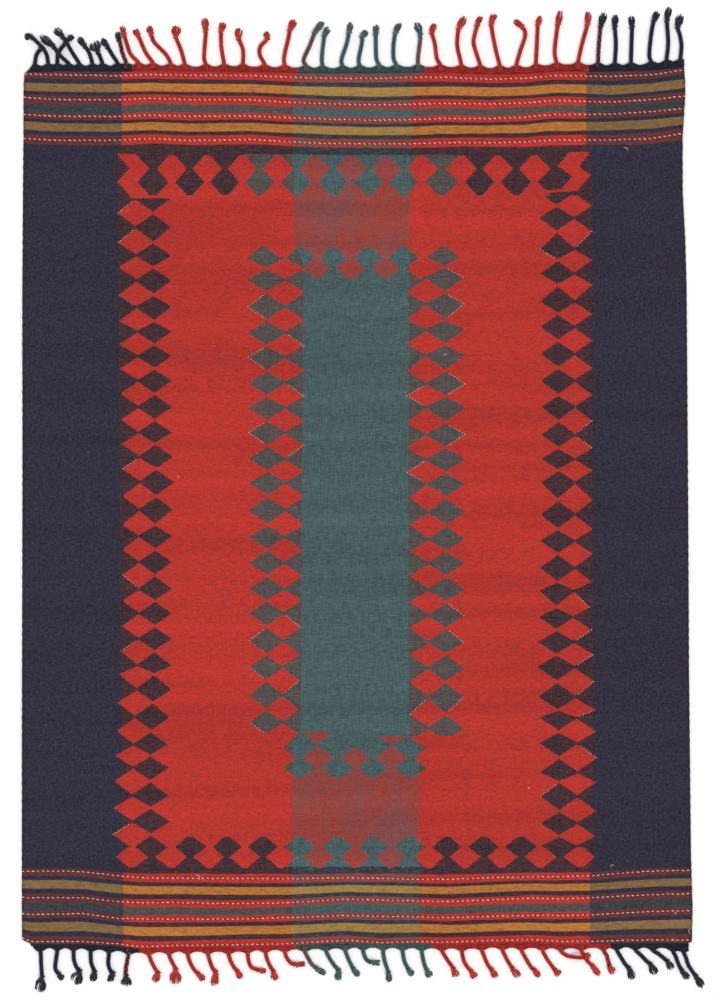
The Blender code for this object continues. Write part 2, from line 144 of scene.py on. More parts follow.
# %% Note the cloth's edges and lines
CLOTH_THICK = 2.6
CLOTH_SWELL = 0.25
SWELLS = ((61.0, 173.0), (-217.0, 89.0))
MEAN_WEST = -611.0
MEAN_EAST = 586.0
WEST, EAST = 1, 2
SIDES = (
    (-800.0, -611.5, 593.5),
    (-740.0, -612.0, 595.0),
    (-640.0, -612.0, 592.0),
    (-300.0, -611.5, 588.5),
    (0.0, -611.0, 587.0),
    (385.0, -611.0, 584.2),
    (466.0, -610.5, 581.8),
    (554.0, -610.0, 577.0),
    (650.0, -609.0, 577.0),
    (720.0, -609.0, 581.5),
    (750.0, -608.5, 582.0),
    (770.0, -606.5, 580.0),
)
CLOTH_END = 1
TWINED = (2, 3, 4, 5)
NORTH_LINES = (
    (-612.0, 767.5, 764.5, 722.5, 692.0, 648.5),
    (-550.0, 769.3, 763.3, 718.7, 688.6, 645.4),
    (-450.0, 768.3, 761.5, 718.0, 688.2, 645.4),
    (-380.0, 769.5, 763.9, 721.0, 690.6, 648.8),
    (-310.0, 768.0, 762.5, 718.7, 688.6, 645.0),
    (-200.0, 767.0, 761.9, 718.3, 689.2, 647.0),
    (-130.0, 765.0, 758.9, 714.0, 686.2, 643.0),
    (-60.0, 764.5, 757.0, 711.3, 683.6, 639.8),
    (20.0, 764.5, 756.9, 709.3, 681.6, 639.0),
    (90.0, 765.5, 758.5, 710.3, 682.6, 639.0),
    (150.0, 765.5, 758.9, 711.7, 684.8, 641.4),
    (230.0, 762.5, 755.3, 710.7, 684.4, 641.0),
    (300.0, 763.5, 756.9, 713.0, 687.0, 642.4),
    (350.0, 767.5, 761.9, 717.0, 691.6, 645.8),
    (450.0, 768.5, 760.3, 714.0, 692.2, 645.8),
    (530.0, 771.0, 763.5, 719.0, 697.2, 648.6),
    (584.0, 776.5, 772.0, 725.0, 702.5, 657.5),
)
SOUTH_LINES = (
    (-613.0, -792.0, -788.5, -745.5, -716.0, -669.5),
    (-595.0, -800.8, -796.0, -747.5, -717.3, -669.5),
    (-540.0, -801.2, -796.0, -746.4, -717.3, -669.0),
    (-500.0, -801.0, -796.2, -745.8, -717.3, -670.7),
    (-440.0, -804.7, -800.0, -754.3, -724.0, -677.6),
    (-400.0, -809.0, -805.3, -755.0, -726.3, -681.2),
    (-340.0, -807.5, -803.3, -755.5, -725.7, -682.2),
    (-240.0, -806.0, -801.8, -755.5, -727.8, -682.6),
    (-140.0, -804.5, -800.0, -753.0, -726.3, -683.0),
    (-80.0, -800.8, -796.4, -751.0, -722.7, -682.2),
    (-30.0, -798.4, -794.0, -749.0, -719.7, -681.2),
    (30.0, -802.0, -798.2, -750.6, -721.3, -682.2),
    (90.0, -800.4, -796.2, -751.4, -722.7, -684.2),
    (150.0, -801.0, -797.0, -753.0, -724.0, -684.2),
    (220.0, -798.7, -794.4, -750.8, -721.3, -681.4),
    (300.0, -797.0, -792.6, -749.0, -717.7, -679.6),
    (350.0, -800.0, -795.6, -749.0, -719.3, -679.2),
    (410.0, -800.6, -795.6, -748.0, -717.0, -677.6),
    (450.0, -799.2, -794.2, -745.0, -714.9, -674.0),
    (510.0, -798.6, -793.0, -742.0, -711.7, -669.5),
    (580.0, -798.8, -793.4, -740.4, -709.7, -667.7),
    (596.0, -794.5, -790.5, -741.0, -709.5, -667.5),
)

# %% [markdown]
# The loom kept the rows straight, and the rug only warped later. So the cloth gets a UV map called
# loom, which gives each point its column and row on the straight chart. Near the ends a chart row
# is pinned to a wandering twined row, and in the field it is simply the place on the plan. Every
# stripe then follows the real line, without one bent number in the pattern.

# %% Pin the chart to the wandering lines
NORTH_PINS = (72.5, 75.7, 101.8, 116.8, 141.8)
SOUTH_PINS = (944.3, 941.8, 915.7, 899.6, 875.7)
FIELD_TOP = 159.0
FIELD_BOTTOM = 863.0


def column_pins(across):
    """Chart rows and the places along the plan where they lie at one place across."""
    north = [between(NORTH_LINES, across, column) for column in range(1, 6)]
    south = [between(SOUTH_LINES, across, column) for column in range(1, 6)]
    pins = list(zip(NORTH_PINS, north))
    pins.append((FIELD_TOP, along_of(FIELD_TOP)))
    pins.append((FIELD_BOTTOM, along_of(FIELD_BOTTOM)))
    pins.extend(reversed(list(zip(SOUTH_PINS, south))))
    return pins


def chart_rows():
    """Rows for the cloth's mesh: close at each twined row, and elsewhere under 8 mm apart."""
    stops = [NORTH_PINS[0], *SOUTH_PINS[:1], FIELD_TOP, FIELD_BOTTOM]
    for pin in (*NORTH_PINS[1:], *SOUTH_PINS[1:]):
        stops.extend((pin - 1.3, pin, pin + 1.3))
    stops.sort()
    rows = [stops[0]]
    for before, after in zip(stops, stops[1:]):
        count = max(round((after - before) / 4.4), 1)
        rows.extend(before + (after - before) * number / count for number in range(1, count + 1))
    return rows


CHART_ROWS = chart_rows()
COLUMN_SHARES = [0.0, 0.0025, 0.006, 0.012]
COLUMN_SHARES += [number / 144 for number in range(3, 142)]
COLUMN_SHARES += [0.988, 0.994, 0.9975, 1.0]
print("cloth mesh", len(COLUMN_SHARES), "columns and", len(CHART_ROWS), "rows")

# %% [markdown]
# A rug that has been walked on is never quite flat. The main unevenness is given one by one, as
# soft ridges and troughs a millimetre or two high: where the end lines bow, a fold that once ran
# across the field, and the slack along the sides. The selvedge, where the weft turns back, is a
# little thicker than the cloth.

# %% Shape the unevenness
RIB_RISE = 0.35
SELVEDGE_RISE = 0.5
Ridge = namedtuple("Ridge", "across along reach_across reach_along height")
RIDGES = (
    Ridge(-420.0, -735.0, 75.0, 60.0, 1.6),
    Ridge(-180.0, -760.0, 140.0, 40.0, 0.8),
    Ridge(350.0, 735.0, 80.0, 55.0, 1.5),
    Ridge(30.0, 690.0, 150.0, 60.0, -0.6),
    Ridge(575.0, 560.0, 35.0, 130.0, 1.4),
    Ridge(590.0, -700.0, 30.0, 90.0, 1.2),
    Ridge(-600.0, 300.0, 35.0, 170.0, 1.0),
    Ridge(-600.0, -330.0, 30.0, 150.0, 0.9),
    Ridge(0.0, 190.0, 520.0, 26.0, 0.8),
    Ridge(40.0, -240.0, 480.0, 30.0, 0.7),
    Ridge(-30.0, 20.0, 24.0, 420.0, 0.6),
)


def cloth_top(across, along):
    """How high the cloth's top face stands, in millimetres, without its ribs."""
    height = CLOTH_THICK
    for length, width in SWELLS:
        height += CLOTH_SWELL * math.sin(along / length + across / width)
    for ridge in RIDGES:
        off_across = (across - ridge.across) / ridge.reach_across
        off_along = (along - ridge.along) / ridge.reach_along
        height += ridge.height * math.exp(-off_across * off_across - off_along * off_along)
    return height


# %% [markdown]
# The cloth starts as a primitive grid. Each of its points goes to its share of the way between the
# two side edges, at the place along the rug where its chart row lies. Solidify then gives the
# cloth a thickness, and its underside is set down on the floor.

# %% Weave the cloth's mesh
def cloth_point(share, row):
    """A point of the cloth's top face as (across, along), in plan millimetres."""
    mean_across = MEAN_WEST + (MEAN_EAST - MEAN_WEST) * share
    along = between(column_pins(mean_across), row)
    west = between(SIDES, along, WEST)
    east = between(SIDES, along, EAST)
    return west + (east - west) * share, along


deselect()
bpy.ops.mesh.primitive_grid_add(
    x_subdivisions=len(COLUMN_SHARES) - 1, y_subdivisions=len(CHART_ROWS) - 1, size=2.0
)
cloth = bpy.context.object
cloth.name = "woven_cloth"
cloth.data.uv_layers[0].name = "loom"
selvedge = cloth.data.attributes.new("selvedge", "FLOAT", "POINT")
on_chart = []
for vert in cloth.data.vertices:
    column = round((vert.co.x + 1) / 2 * (len(COLUMN_SHARES) - 1))
    share = COLUMN_SHARES[column]
    row = CHART_ROWS[round((1 - vert.co.y) / 2 * (len(CHART_ROWS) - 1))]
    across, along = cloth_point(share, row)
    nearest = min(abs(row - pin) for pin in (*NORTH_PINS[1:], *SOUTH_PINS[1:]))
    rise = RIB_RISE if nearest < 0.5 else 0.0
    at_side = smooth_step(1 - min(share, 1 - share) / 0.0055)
    selvedge.data[vert.index].value = at_side
    if min(share, 1 - share) == 0:
        across += 0.4 * math.sin(along * math.tau / 15.0)
        rise -= 1.0
    on_chart.append((CHART_MIDDLE[0] + across / STEP, row))
    vert.co = place(across, along, cloth_top(across, along) + rise + SELVEDGE_RISE * at_side)
for loop in cloth.data.loops:
    column, row = on_chart[loop.vertex_index]
    cloth.data.uv_layers["loom"].data[loop.index].uv = (column / 1000, 1 - row / 1000)

thickness = cloth.modifiers.new("thickness", "SOLIDIFY")
thickness.thickness = CLOTH_THICK * MM
thickness.offset = -1.0
bpy.ops.object.modifier_apply(modifier="thickness")
for vert in cloth.data.vertices:
    vert.co.z = max(vert.co.z, 0.0)
bpy.ops.object.shade_smooth_by_angle(angle=math.radians(50))
print("woven cloth", len(cloth.data.polygons), "faces")

# %% [markdown]
# ## Helpers for node materials
# A woven pattern takes many small sums, so these helpers add nodes to one tree and take numbers
# and sockets alike. Colours are given as they look on a screen, and tone makes them linear,
# as a shader wants them.

# %% Make a helper for nodes
def tone(red, green, blue):
    """A screen colour from 0 to 255 as a linear one."""
    linear = []
    for part in (red, green, blue):
        part /= 255
        linear.append(part / 12.92 if part <= 0.04045 else ((part + 0.055) / 1.055) ** 2.4)
    return (*linear, 1.0)


class Net:
    """Adds nodes to one tree."""

    def __init__(self, tree):
        self.tree = tree

    def add(self, kind, **settings):
        node = self.tree.nodes.new(kind)
        for name, value in settings.items():
            setattr(node, name, value)
        return node

    def feed(self, socket, value):
        if isinstance(value, bpy.types.NodeSocket):
            self.tree.links.new(value, socket)
        else:
            socket.default_value = value

    def sum(self, operation, *values, clamp=False):
        node = self.add("ShaderNodeMath", operation=operation, use_clamp=clamp)
        for socket, value in zip(node.inputs, values):
            self.feed(socket, value)
        return node.outputs[0]

    def more(self, value, limit):
        return self.sum("GREATER_THAN", value, limit)

    def less(self, value, limit):
        return self.sum("LESS_THAN", value, limit)

    def both(self, first, second):
        return self.sum("MULTIPLY", first, second)

    def either(self, first, second):
        return self.sum("MAXIMUM", first, second)

    def inside(self, value, low, high):
        return self.both(self.more(value, low), self.less(value, high))

    def choose(self, test, when_true, when_false):
        """A number that is one value where test is 1, and the other where it is 0."""
        node = self.add("ShaderNodeMix", data_type="FLOAT")
        self.feed(node.inputs[0], test)
        self.feed(node.inputs[2], when_false)
        self.feed(node.inputs[3], when_true)
        return node.outputs[0]

    def span(self, value, low, high, to_low=0.0, to_high=1.0):
        node = self.add("ShaderNodeMapRange")
        for socket, part in zip(node.inputs, (value, low, high, to_low, to_high)):
            self.feed(socket, part)
        return node.outputs[0]

    def blend(self, share, first, second, kind="MIX"):
        """Mixes two colours."""
        node = self.add("ShaderNodeMix", data_type="RGBA", blend_type=kind)
        self.feed(node.inputs[0], share)
        self.feed(node.inputs[6], first)
        self.feed(node.inputs[7], second)
        return node.outputs[2]

    def noise(self, vector, scale, detail=2.0, stretch=(1.0, 1.0, 1.0), offset=0.0):
        mapping = self.add("ShaderNodeMapping")
        self.feed(mapping.inputs["Vector"], vector)
        mapping.inputs["Scale"].default_value = stretch
        mapping.inputs["Location"].default_value = (offset, offset, offset)
        node = self.add("ShaderNodeTexNoise")
        self.feed(node.inputs["Vector"], mapping.outputs[0])
        node.inputs["Scale"].default_value = scale
        node.inputs["Detail"].default_value = detail
        return node.outputs["Fac"]

    def chart(self, value, places):
        """Reads a table of (where, result) pairs by straight lines."""
        first, last = places[0][0], places[-1][0]
        low = min(result for _, result in places)
        high = max(result for _, result in places)
        spread = (high - low) or 1.0
        node = self.add("ShaderNodeFloatCurve")
        points = node.mapping.curves[0].points
        points[0].location = (0.0, (places[0][1] - low) / spread)
        points[1].location = (1.0, (places[-1][1] - low) / spread)
        for where, result in places[1:-1]:
            points.new((where - first) / (last - first), (result - low) / spread)
        for point in points:
            point.handle_type = "VECTOR"
        node.mapping.update()
        self.feed(node.inputs["Value"], self.span(value, first, last))
        return self.sum("MULTIPLY_ADD", node.outputs[0], spread, low)


def new_group(name, inputs, outputs):
    """A shader node group with named sockets: its net, what comes in and where results go."""
    tree = bpy.data.node_groups.new(name, "ShaderNodeTree")
    for title, kind in inputs:
        tree.interface.new_socket(title, in_out="INPUT", socket_type=kind)
    for title, kind in outputs:
        tree.interface.new_socket(title, in_out="OUTPUT", socket_type=kind)
    net = Net(tree)
    return net, net.add("NodeGroupInput").outputs, net.add("NodeGroupOutput").inputs


def use_group(net, group, **values):
    """Puts a group in a net, with its inputs fed by name, and gives its outputs."""
    node = net.add("ShaderNodeGroup", node_tree=bpy.data.node_groups[group])
    for name, value in values.items():
        net.feed(node.inputs[name.replace("_", " ")], value)
    return node.outputs


FLOAT, COLOUR, VECTOR = "NodeSocketFloat", "NodeSocketColor", "NodeSocketVector"

# %% [markdown]
# ## The pattern as a weaver counts it
# Every border here is one traditional motif: a row of lozenges of one colour locked into a row of
# the other. Say the phase is whole in the middle of each lozenge of the first colour, and the share
# goes from 0 on one side of the row to 1 on the other. Then the first colour's half width grows
# from nothing to nearly the whole, shrinks to a narrow neck, and grows again until it is all the
# field. That is a zigzag, which a ping-pong node makes. The neck keeps neighbours from closing up,
# and the flat is how blunt the outermost points are.

# %% Build the group for locked lozenges
net, given, result = new_group(
    "locked_lozenges",
    [("Phase", FLOAT), ("Share", FLOAT), ("Neck", FLOAT), ("Flat", FLOAT)],
    [("Mask", FLOAT)],
)
turned = net.sum("FRACT", net.sum("ADD", given["Phase"], 0.5))
distance = net.sum("MULTIPLY", net.sum("ABSOLUTE", net.sum("SUBTRACT", turned, 0.5)), 2.0)
share = net.sum("ADD", given["Share"], 0.0, clamp=True)
zigzag = net.sum("PINGPONG", net.sum("MULTIPLY", share, 3.0), 1.0)
low = net.choose(net.less(share, 1 / 3), given["Flat"], given["Neck"])
high = net.choose(net.more(share, 2 / 3), given["Flat"], given["Neck"])
height = net.sum("SUBTRACT", net.sum("SUBTRACT", 1.0, high), low)
half_width = net.sum("MULTIPLY_ADD", zigzag, height, low)
mask = net.both(net.less(distance, half_width), net.more(share, 0.0))
net.feed(result["Mask"], net.either(mask, net.more(share, 0.999)))

# %% [markdown]
# No two lozenges are the same height, because the wool packs down unevenly. So each chain has a
# short chart of the rows, or columns, where its lozenges come to a point, on one side and on the
# other by turns, and of how its two edges lean. They were counted one repeat after another, on the
# rug's own grid of 1.8 mm steps.

# %% Chart the chains and rows of lozenges
LEFT_TIPS = (
    198.5, 213, 227.5, 242.5, 255.5, 267.5, 280.5, 295, 307, 321, 331.8, 344.5, 356, 368.8, 380.8,
    394, 407, 420, 432.5, 443.8, 457, 468.8, 482, 496.3, 509.5, 525, 535.8, 549.5, 562, 575, 589,
    601, 613, 626, 638.8, 650.8, 665.5, 674, 689.5, 702.5, 717, 731, 744.5, 755.5, 767.5, 781,
    795.5, 807.5, 821.5, 834, 849.5,
)
LEFT_OUTER = ((198, 118), (321, 120), (470, 123), (626, 123), (702, 118.5), (807, 114), (850, 113.5))
LEFT_INNER = ((198, 170.5), (440, 171.5), (482, 174), (520, 171.5), (690, 171), (744, 167), (850, 170))
RIGHT_TIPS = (
    192, 206, 218, 231.8, 249.5, 260, 273.8, 285, 301.8, 313.8, 327, 340.5, 354, 368, 380.8, 395,
    406.8, 421, 435, 448, 459, 470, 482.5, 500, 514.5, 529, 541, 554, 568, 581.8, 590.5, 607.5,
    616.8, 630, 642, 654.5, 666.8, 681.5, 697, 710, 717.5, 731.5, 743, 757.5, 772.5, 782, 796,
    811, 823, 836, 846,
)
RIGHT_OUTER = ((192, 591), (570, 592), (607, 589), (640, 592), (681, 593.5), (757, 596), (846, 594.5))
RIGHT_INNER = ((192, 539), (249, 540.5), (430, 542), (600, 540), (667, 537.5), (717, 540), (846, 541.5))
MEDALLION_LEFT_TIPS = (
    246, 257.5, 268.8, 280, 292.5, 306.8, 320, 332.5, 346, 357, 370.8, 382.5, 396, 408, 420.8,
    432.5, 445.5, 458.8, 471, 483, 496, 510, 525, 537, 549.5, 563, 575.8, 588.8, 600.5, 613, 627,
    640.5, 654.5, 667, 680.5, 695, 709.5, 722, 735,
)
MEDALLION_LEFT_OUTER = ((246, 245), (280, 248), (500, 249.5), (735, 250))
MEDALLION_LEFT_INNER = ((246, 304), (500, 303.5), (600, 301), (709, 298), (735, 300))
MEDALLION_RIGHT_TIPS = (
    245, 256, 267, 277.5, 292.5, 304, 320, 329.5, 344.5, 355, 370.8, 383.8, 396, 407, 423, 434.5,
    447.5, 459.5, 472.5, 483.8, 497.5, 512.5, 525, 539.5, 551, 563, 576, 589.5, 602, 615.5, 628,
    642, 654, 668, 682, 697, 714, 728, 741,
)
MEDALLION_RIGHT_OUTER = ((245, 463), (400, 465), (741, 463))
MEDALLION_RIGHT_INNER = ((245, 407), (470, 407), (500, 410.5), (741, 410.5))
TOP_TIPS = (
    154, 172, 190, 207, 225, 242.3, 259.5, 278, 296, 315, 333, 351, 369, 386, 403.5, 421, 442, 462,
    479.4, 497.4, 516.2, 534, 554,
)
BOTTOM_TIPS = (
    113, 131.7, 151.6, 172, 190, 210, 226.6, 245, 262.9, 281, 300, 318.5, 337.6, 356, 372.7, 391,
    409.4, 429, 447, 464.6, 484, 501.6, 521, 540.4, 559.7, 580.8, 597,
)
MEDALLION_TOP_TIPS = (245, 262.8, 283, 300.8, 317.6, 332, 350.6, 368, 385.8, 402.6, 422.5, 443.5, 463)
MEDALLION_BOTTOM_TIPS = (281, 298.5, 318.4, 337.6, 355.5, 372, 390.8, 411, 430)
CHAIN_NECK = 0.08
CHAIN_FLAT = 0.04
ROW_NECK = 0.17
ROW_FLAT = 0.15


def phases(tips):
    """Pairs each tip with its phase: half numbers on one side, whole numbers on the other."""
    return [(tip, number / 2 - 0.5) for number, tip in enumerate(tips)]


def chain_mask(net, along, across, tips, outer, inner):
    """The mask of a chain that runs up the rug between its outer and inner edges."""
    edge = net.chart(along, outer)
    width = net.sum("SUBTRACT", net.chart(along, inner), edge)
    share = net.sum("DIVIDE", net.sum("SUBTRACT", across, edge), width)
    phase = net.chart(along, phases(tips))
    return use_group(
        net, "locked_lozenges", Phase=phase, Share=share, Neck=CHAIN_NECK, Flat=CHAIN_FLAT
    )[0]


def row_mask(net, along, across, tips, outer, inner):
    """The mask of a row that runs across the rug between two rows of the chart."""
    share = net.span(along, outer, inner)
    phase = net.chart(across, phases(tips))
    return use_group(
        net, "locked_lozenges", Phase=phase, Share=share, Neck=ROW_NECK, Flat=ROW_FLAT
    )[0]


# %% [markdown]
# The outer frame is two chains and two rows. At its lower corners the chains give way to the row,
# and at its upper corners the weaver filled in with a bent bar instead of a lozenge, and a thin
# line under it. A bar is all that lies between two zigzag lines. The group puts out 1 wherever the
# red field is.

# %% Build the group for the outer frame
LEFT_BAR_WEST = ((153, 119), (155, 118), (168.5, 129.5), (182, 117.5), (196, 130))
LEFT_BAR_EAST = ((153, 135), (155, 136), (168.5, 149.5), (182, 137.5), (196, 150))
RIGHT_BAR_WEST = ((153, 569), (166, 557.5), (176, 572), (190, 561))
RIGHT_BAR_EAST = ((153, 589.4), (166.3, 579), (176, 590.5), (190, 577))

net, given, result = new_group(
    "outer_frame", [("Column", FLOAT), ("Row", FLOAT)], [("Field", FLOAT)]
)
column, row = given["Column"], given["Row"]
chains = net.both(
    chain_mask(net, row, column, LEFT_TIPS, LEFT_OUTER, LEFT_INNER),
    chain_mask(net, row, column, RIGHT_TIPS, RIGHT_OUTER, RIGHT_INNER),
)
between_chains = net.inside(column, 171, 541.5)
past_chains = net.more(row, 847)
bottom = net.both(
    row_mask(net, row, column, BOTTOM_TIPS, 867, 836.5), net.inside(column, 113, 597)
)
side = net.both(net.less(row, 847), net.sum("SUBTRACT", 1.0, between_chains))
lower = net.both(net.either(chains, past_chains), net.either(bottom, side))
top = net.both(row_mask(net, row, column, TOP_TIPS, 155.5, 195.5), net.inside(column, 154, 552))
left_bar = net.both(
    net.more(column, net.chart(row, LEFT_BAR_WEST)), net.less(column, net.chart(row, LEFT_BAR_EAST))
)
left_bar = net.both(left_bar, net.inside(row, 154.5, 196))
right_bar = net.both(
    net.more(column, net.chart(row, RIGHT_BAR_WEST)), net.less(column, net.chart(row, RIGHT_BAR_EAST))
)
right_bar = net.both(right_bar, net.inside(row, 152.7, 190))
upper = net.either(top, net.either(left_bar, right_bar))
lean = net.sum("MULTIPLY_ADD", column, 0.061, row)
right_line = net.both(net.inside(lean, 223.7, 226.3), net.inside(column, 539, 578))
left_line = net.both(net.inside(row, 195.6, 198.4), net.inside(column, 130.5, 172))
field = net.choose(net.less(row, 195.6), upper, lower)
net.feed(result["Field"], net.either(field, net.either(right_line, left_line)))

# %% [markdown]
# The medallion is a second frame inside the first, green on red. Its foot steps in at a level
# edge, where two red triangles hang down, and ends in a narrower row of lozenges.

# %% Build the group for the medallion
FOOT_WEST = ((732, 300), (748, 282.5), (758, 297), (768, 282.5), (778, 298.5))
FOOT_EAST = ((736, 407), (750.5, 430), (760, 416), (768, 428.2), (778, 411))
FOOT_TRIANGLES = ((317.5, 732.0, 14.5, 12.4), (392.0, 736.0, 14.5, 9.2))

net, given, result = new_group(
    "medallion", [("Column", FLOAT), ("Row", FLOAT)], [("Inside", FLOAT)]
)
column, row = given["Column"], given["Row"]
chains = net.both(
    chain_mask(
        net, row, column, MEDALLION_LEFT_TIPS, MEDALLION_LEFT_OUTER, MEDALLION_LEFT_INNER
    ),
    chain_mask(
        net, row, column, MEDALLION_RIGHT_TIPS, MEDALLION_RIGHT_OUTER, MEDALLION_RIGHT_INNER
    ),
)
between_chains = net.inside(column, 283, 423)
above = net.less(row, 257.5)
top = net.both(row_mask(net, row, column, MEDALLION_TOP_TIPS, 247, 279), net.inside(column, 245, 463))
side = net.both(net.sum("SUBTRACT", 1.0, above), net.sum("SUBTRACT", 1.0, between_chains))
body = net.both(net.either(chains, above), net.either(top, side))
foot = net.both(
    net.more(column, net.chart(row, FOOT_WEST)), net.less(column, net.chart(row, FOOT_EAST))
)
foot = net.both(foot, row_mask(net, row, column, MEDALLION_BOTTOM_TIPS, 778, 747.5))
for middle, flat_row, half, depth in FOOT_TRIANGLES:
    down = net.sum("SUBTRACT", row, flat_row)
    reach = net.sum("MULTIPLY", net.sum("SUBTRACT", depth, down), half / depth)
    off = net.sum("ABSOLUTE", net.sum("SUBTRACT", column, middle))
    foot = net.both(foot, net.more(off, reach))
foot = net.both(foot, net.less(row, 778))
edge_row = net.choose(net.more(column, 355), 736.0, 732.0)
net.feed(result["Inside"], net.choose(net.less(row, edge_row), body, foot))

# %% [markdown]
# Now the colours. A kilim shows mostly its weft, and the warp below tints it, so each weft colour
# has three tones: over the navy, the red and the green warp. The ends' stripes come from a colour
# ramp for each end, read as a code: its red part means navy weft, its green part green weft, its
# blue part gold weft, and black means red weft. The frames then write over that code.

# %% Build the group for the weft's code
NORTH_BANDS = (
    (70, "red"), (79.7, "navy"), (84.6, "gold"), (93.5, "navy"), (97.3, "red"), (106.2, "green"),
    (113.8, "red"), (120.4, "navy"), (124.0, "gold"), (132.7, "navy"), (136.9, "red"),
    (146.0, "navy"),
)
SOUTH_BANDS = (
    (864, "navy"), (871.8, "red"), (879.8, "navy"), (883.6, "gold"), (891.5, "navy"),
    (896.3, "red"), (904.1, "green"), (912.1, "red"), (919.2, "navy"), (923.3, "gold"),
    (931.8, "navy"), (936.6, "red"),
)
BAND_REACH = 82.0
CODES = {"red": (0, 0, 0, 1), "navy": (1, 0, 0, 1), "green": (0, 1, 0, 1), "gold": (0, 0, 1, 1)}
GREEN_GROUND = ((243.5, 459.0, 154.5, 196.0), (286.0, 425.0, 835.0, 866.0))



def band_code(net, row, bands):
    """A colour ramp with hard stops, which reads the code of one end's stripes."""
    first = bands[0][0]
    ramp = net.add("ShaderNodeValToRGB")
    ramp.color_ramp.interpolation = "CONSTANT"
    net.feed(ramp.inputs[0], net.span(row, first, first + BAND_REACH))
    elements = ramp.color_ramp.elements
    elements.remove(elements[1])
    elements[0].position = 0.0
    elements[0].color = CODES[bands[0][1]]
    for stop, colour in bands[1:]:
        elements.new((stop - first) / BAND_REACH).color = CODES[colour]
    return ramp.outputs[0]


net, given, result = new_group(
    "weft_plan",
    [("Column", FLOAT), ("Row", FLOAT), ("Band row", FLOAT)],
    [("Navy", FLOAT), ("Green", FLOAT), ("Gold", FLOAT)],
)
column, row, band_row = given["Column"], given["Row"], given["Band row"]
code = net.blend(
    net.more(row, 500.0), band_code(net, band_row, NORTH_BANDS), band_code(net, band_row, SOUTH_BANDS)
)
for west, east, low, high in GREEN_GROUND:
    zone = net.both(net.inside(column, west, east), net.inside(row, low, high))
    code = net.blend(zone, code, CODES["green"])
field = use_group(net, "outer_frame", Column=column, Row=row)[0]
in_field = net.both(field, net.inside(row, 152, 868))
code = net.blend(in_field, code, CODES["red"])
inside = use_group(net, "medallion", Column=column, Row=row)[0]
inside = net.both(inside, net.inside(row, 246.5, 778))
code = net.blend(inside, code, CODES["green"])
parts = net.add("ShaderNodeSeparateColor")
net.feed(parts.inputs[0], code)
for name, part in zip(("Navy", "Green", "Gold"), parts.outputs):
    net.feed(result[name], part)

# %% [markdown]
# A weft row turns from one colour to the next only between two warps, so slanting edges are really
# little steps, two chart steps wide. The threads group snaps the column to those steps and lets the
# row tremble a little from one step to the next. It also puts out the threads themselves: a plain
# weave, over one and under one, whose crossings stand up, and the streaks that thick and thin
# handspun wool leaves along the weft.

# %% Build the group for the threads
STEP_WIDE = 2.0
net, given, result = new_group(
    "threads",
    [("Loom", VECTOR)],
    [
        ("Column", FLOAT), ("Row", FLOAT), ("Band row", FLOAT), ("Height", FLOAT), ("Streak", FLOAT),
        ("Grain", FLOAT), ("Hatch", FLOAT),
    ],
)
parts = net.add("ShaderNodeSeparateXYZ")
net.feed(parts.inputs[0], given["Loom"])
true_column = net.sum("MULTIPLY", parts.outputs[0], 1000.0)
true_row = net.sum("MULTIPLY", net.sum("SUBTRACT", 1.0, parts.outputs[1]), 1000.0)
step = net.sum("ADD", net.sum("FLOOR", net.sum("DIVIDE", true_column, STEP_WIDE)), 0.5)
snapped = net.sum("MULTIPLY", step, STEP_WIDE)
at_step = net.add("ShaderNodeCombineXYZ")
net.feed(at_step.inputs[0], net.sum("MULTIPLY", snapped, 0.71))
net.feed(at_step.inputs[1], net.sum("MULTIPLY", true_row, 0.06))
tremble = net.noise(at_step.outputs[0], 1.0, 1.0)
net.feed(result["Column"], snapped)
net.feed(result["Row"], net.sum("ADD", true_row, net.span(tremble, 0.25, 0.75, -0.45, 0.45)))
bow = net.noise(given["Loom"], 14.0, 2.0, stretch=(1.0, 4.0, 1.0))
net.feed(result["Band row"], net.sum("ADD", true_row, net.span(bow, 0.3, 0.7, -0.55, 0.55)))
warp_wave = net.sum("SINE", net.sum("MULTIPLY", true_column, math.pi))
weft_wave = net.sum("SINE", net.sum("MULTIPLY", true_row, math.pi / 0.62))
net.feed(result["Height"], net.sum("ABSOLUTE", net.both(warp_wave, weft_wave)))
at_thread = net.add("ShaderNodeCombineXYZ")
net.feed(at_thread.inputs[0], net.sum("MULTIPLY", true_column, 0.22))
net.feed(at_thread.inputs[1], true_row)
net.feed(result["Streak"], net.noise(at_thread.outputs[0], 0.55, 3.0))
at_spot = net.add("ShaderNodeCombineXYZ")
net.feed(at_spot.inputs[0], net.sum("MULTIPLY", true_column, 0.6))
net.feed(at_spot.inputs[1], true_row)
net.feed(result["Grain"], net.noise(at_spot.outputs[0], 0.9, 2.0, offset=7.0))
at_warp = net.add("ShaderNodeCombineXYZ")
net.feed(at_warp.inputs[0], true_column)
net.feed(at_warp.inputs[1], net.sum("MULTIPLY", true_row, 0.12))
warp_hatch = net.noise(at_warp.outputs[0], 0.6, 2.0)
weft_hatch = net.noise(at_thread.outputs[0], 0.8, 2.0, offset=13.0)
net.feed(result["Hatch"], net.sum("MULTIPLY", net.sum("ADD", warp_hatch, weft_hatch), 0.5))

# %% Build the group for a weft over three warps
net, given, result = new_group(
    "weft_over_warps",
    [
        ("On navy", COLOUR), ("On red", COLOUR), ("On green", COLOUR), ("Navy warp", FLOAT),
        ("Green warp", FLOAT),
    ],
    [("Colour", COLOUR)],
)
colour = net.blend(given["Navy warp"], given["On red"], given["On navy"])
colour = net.blend(given["Green warp"], colour, given["On green"])
net.feed(result["Colour"], colour)
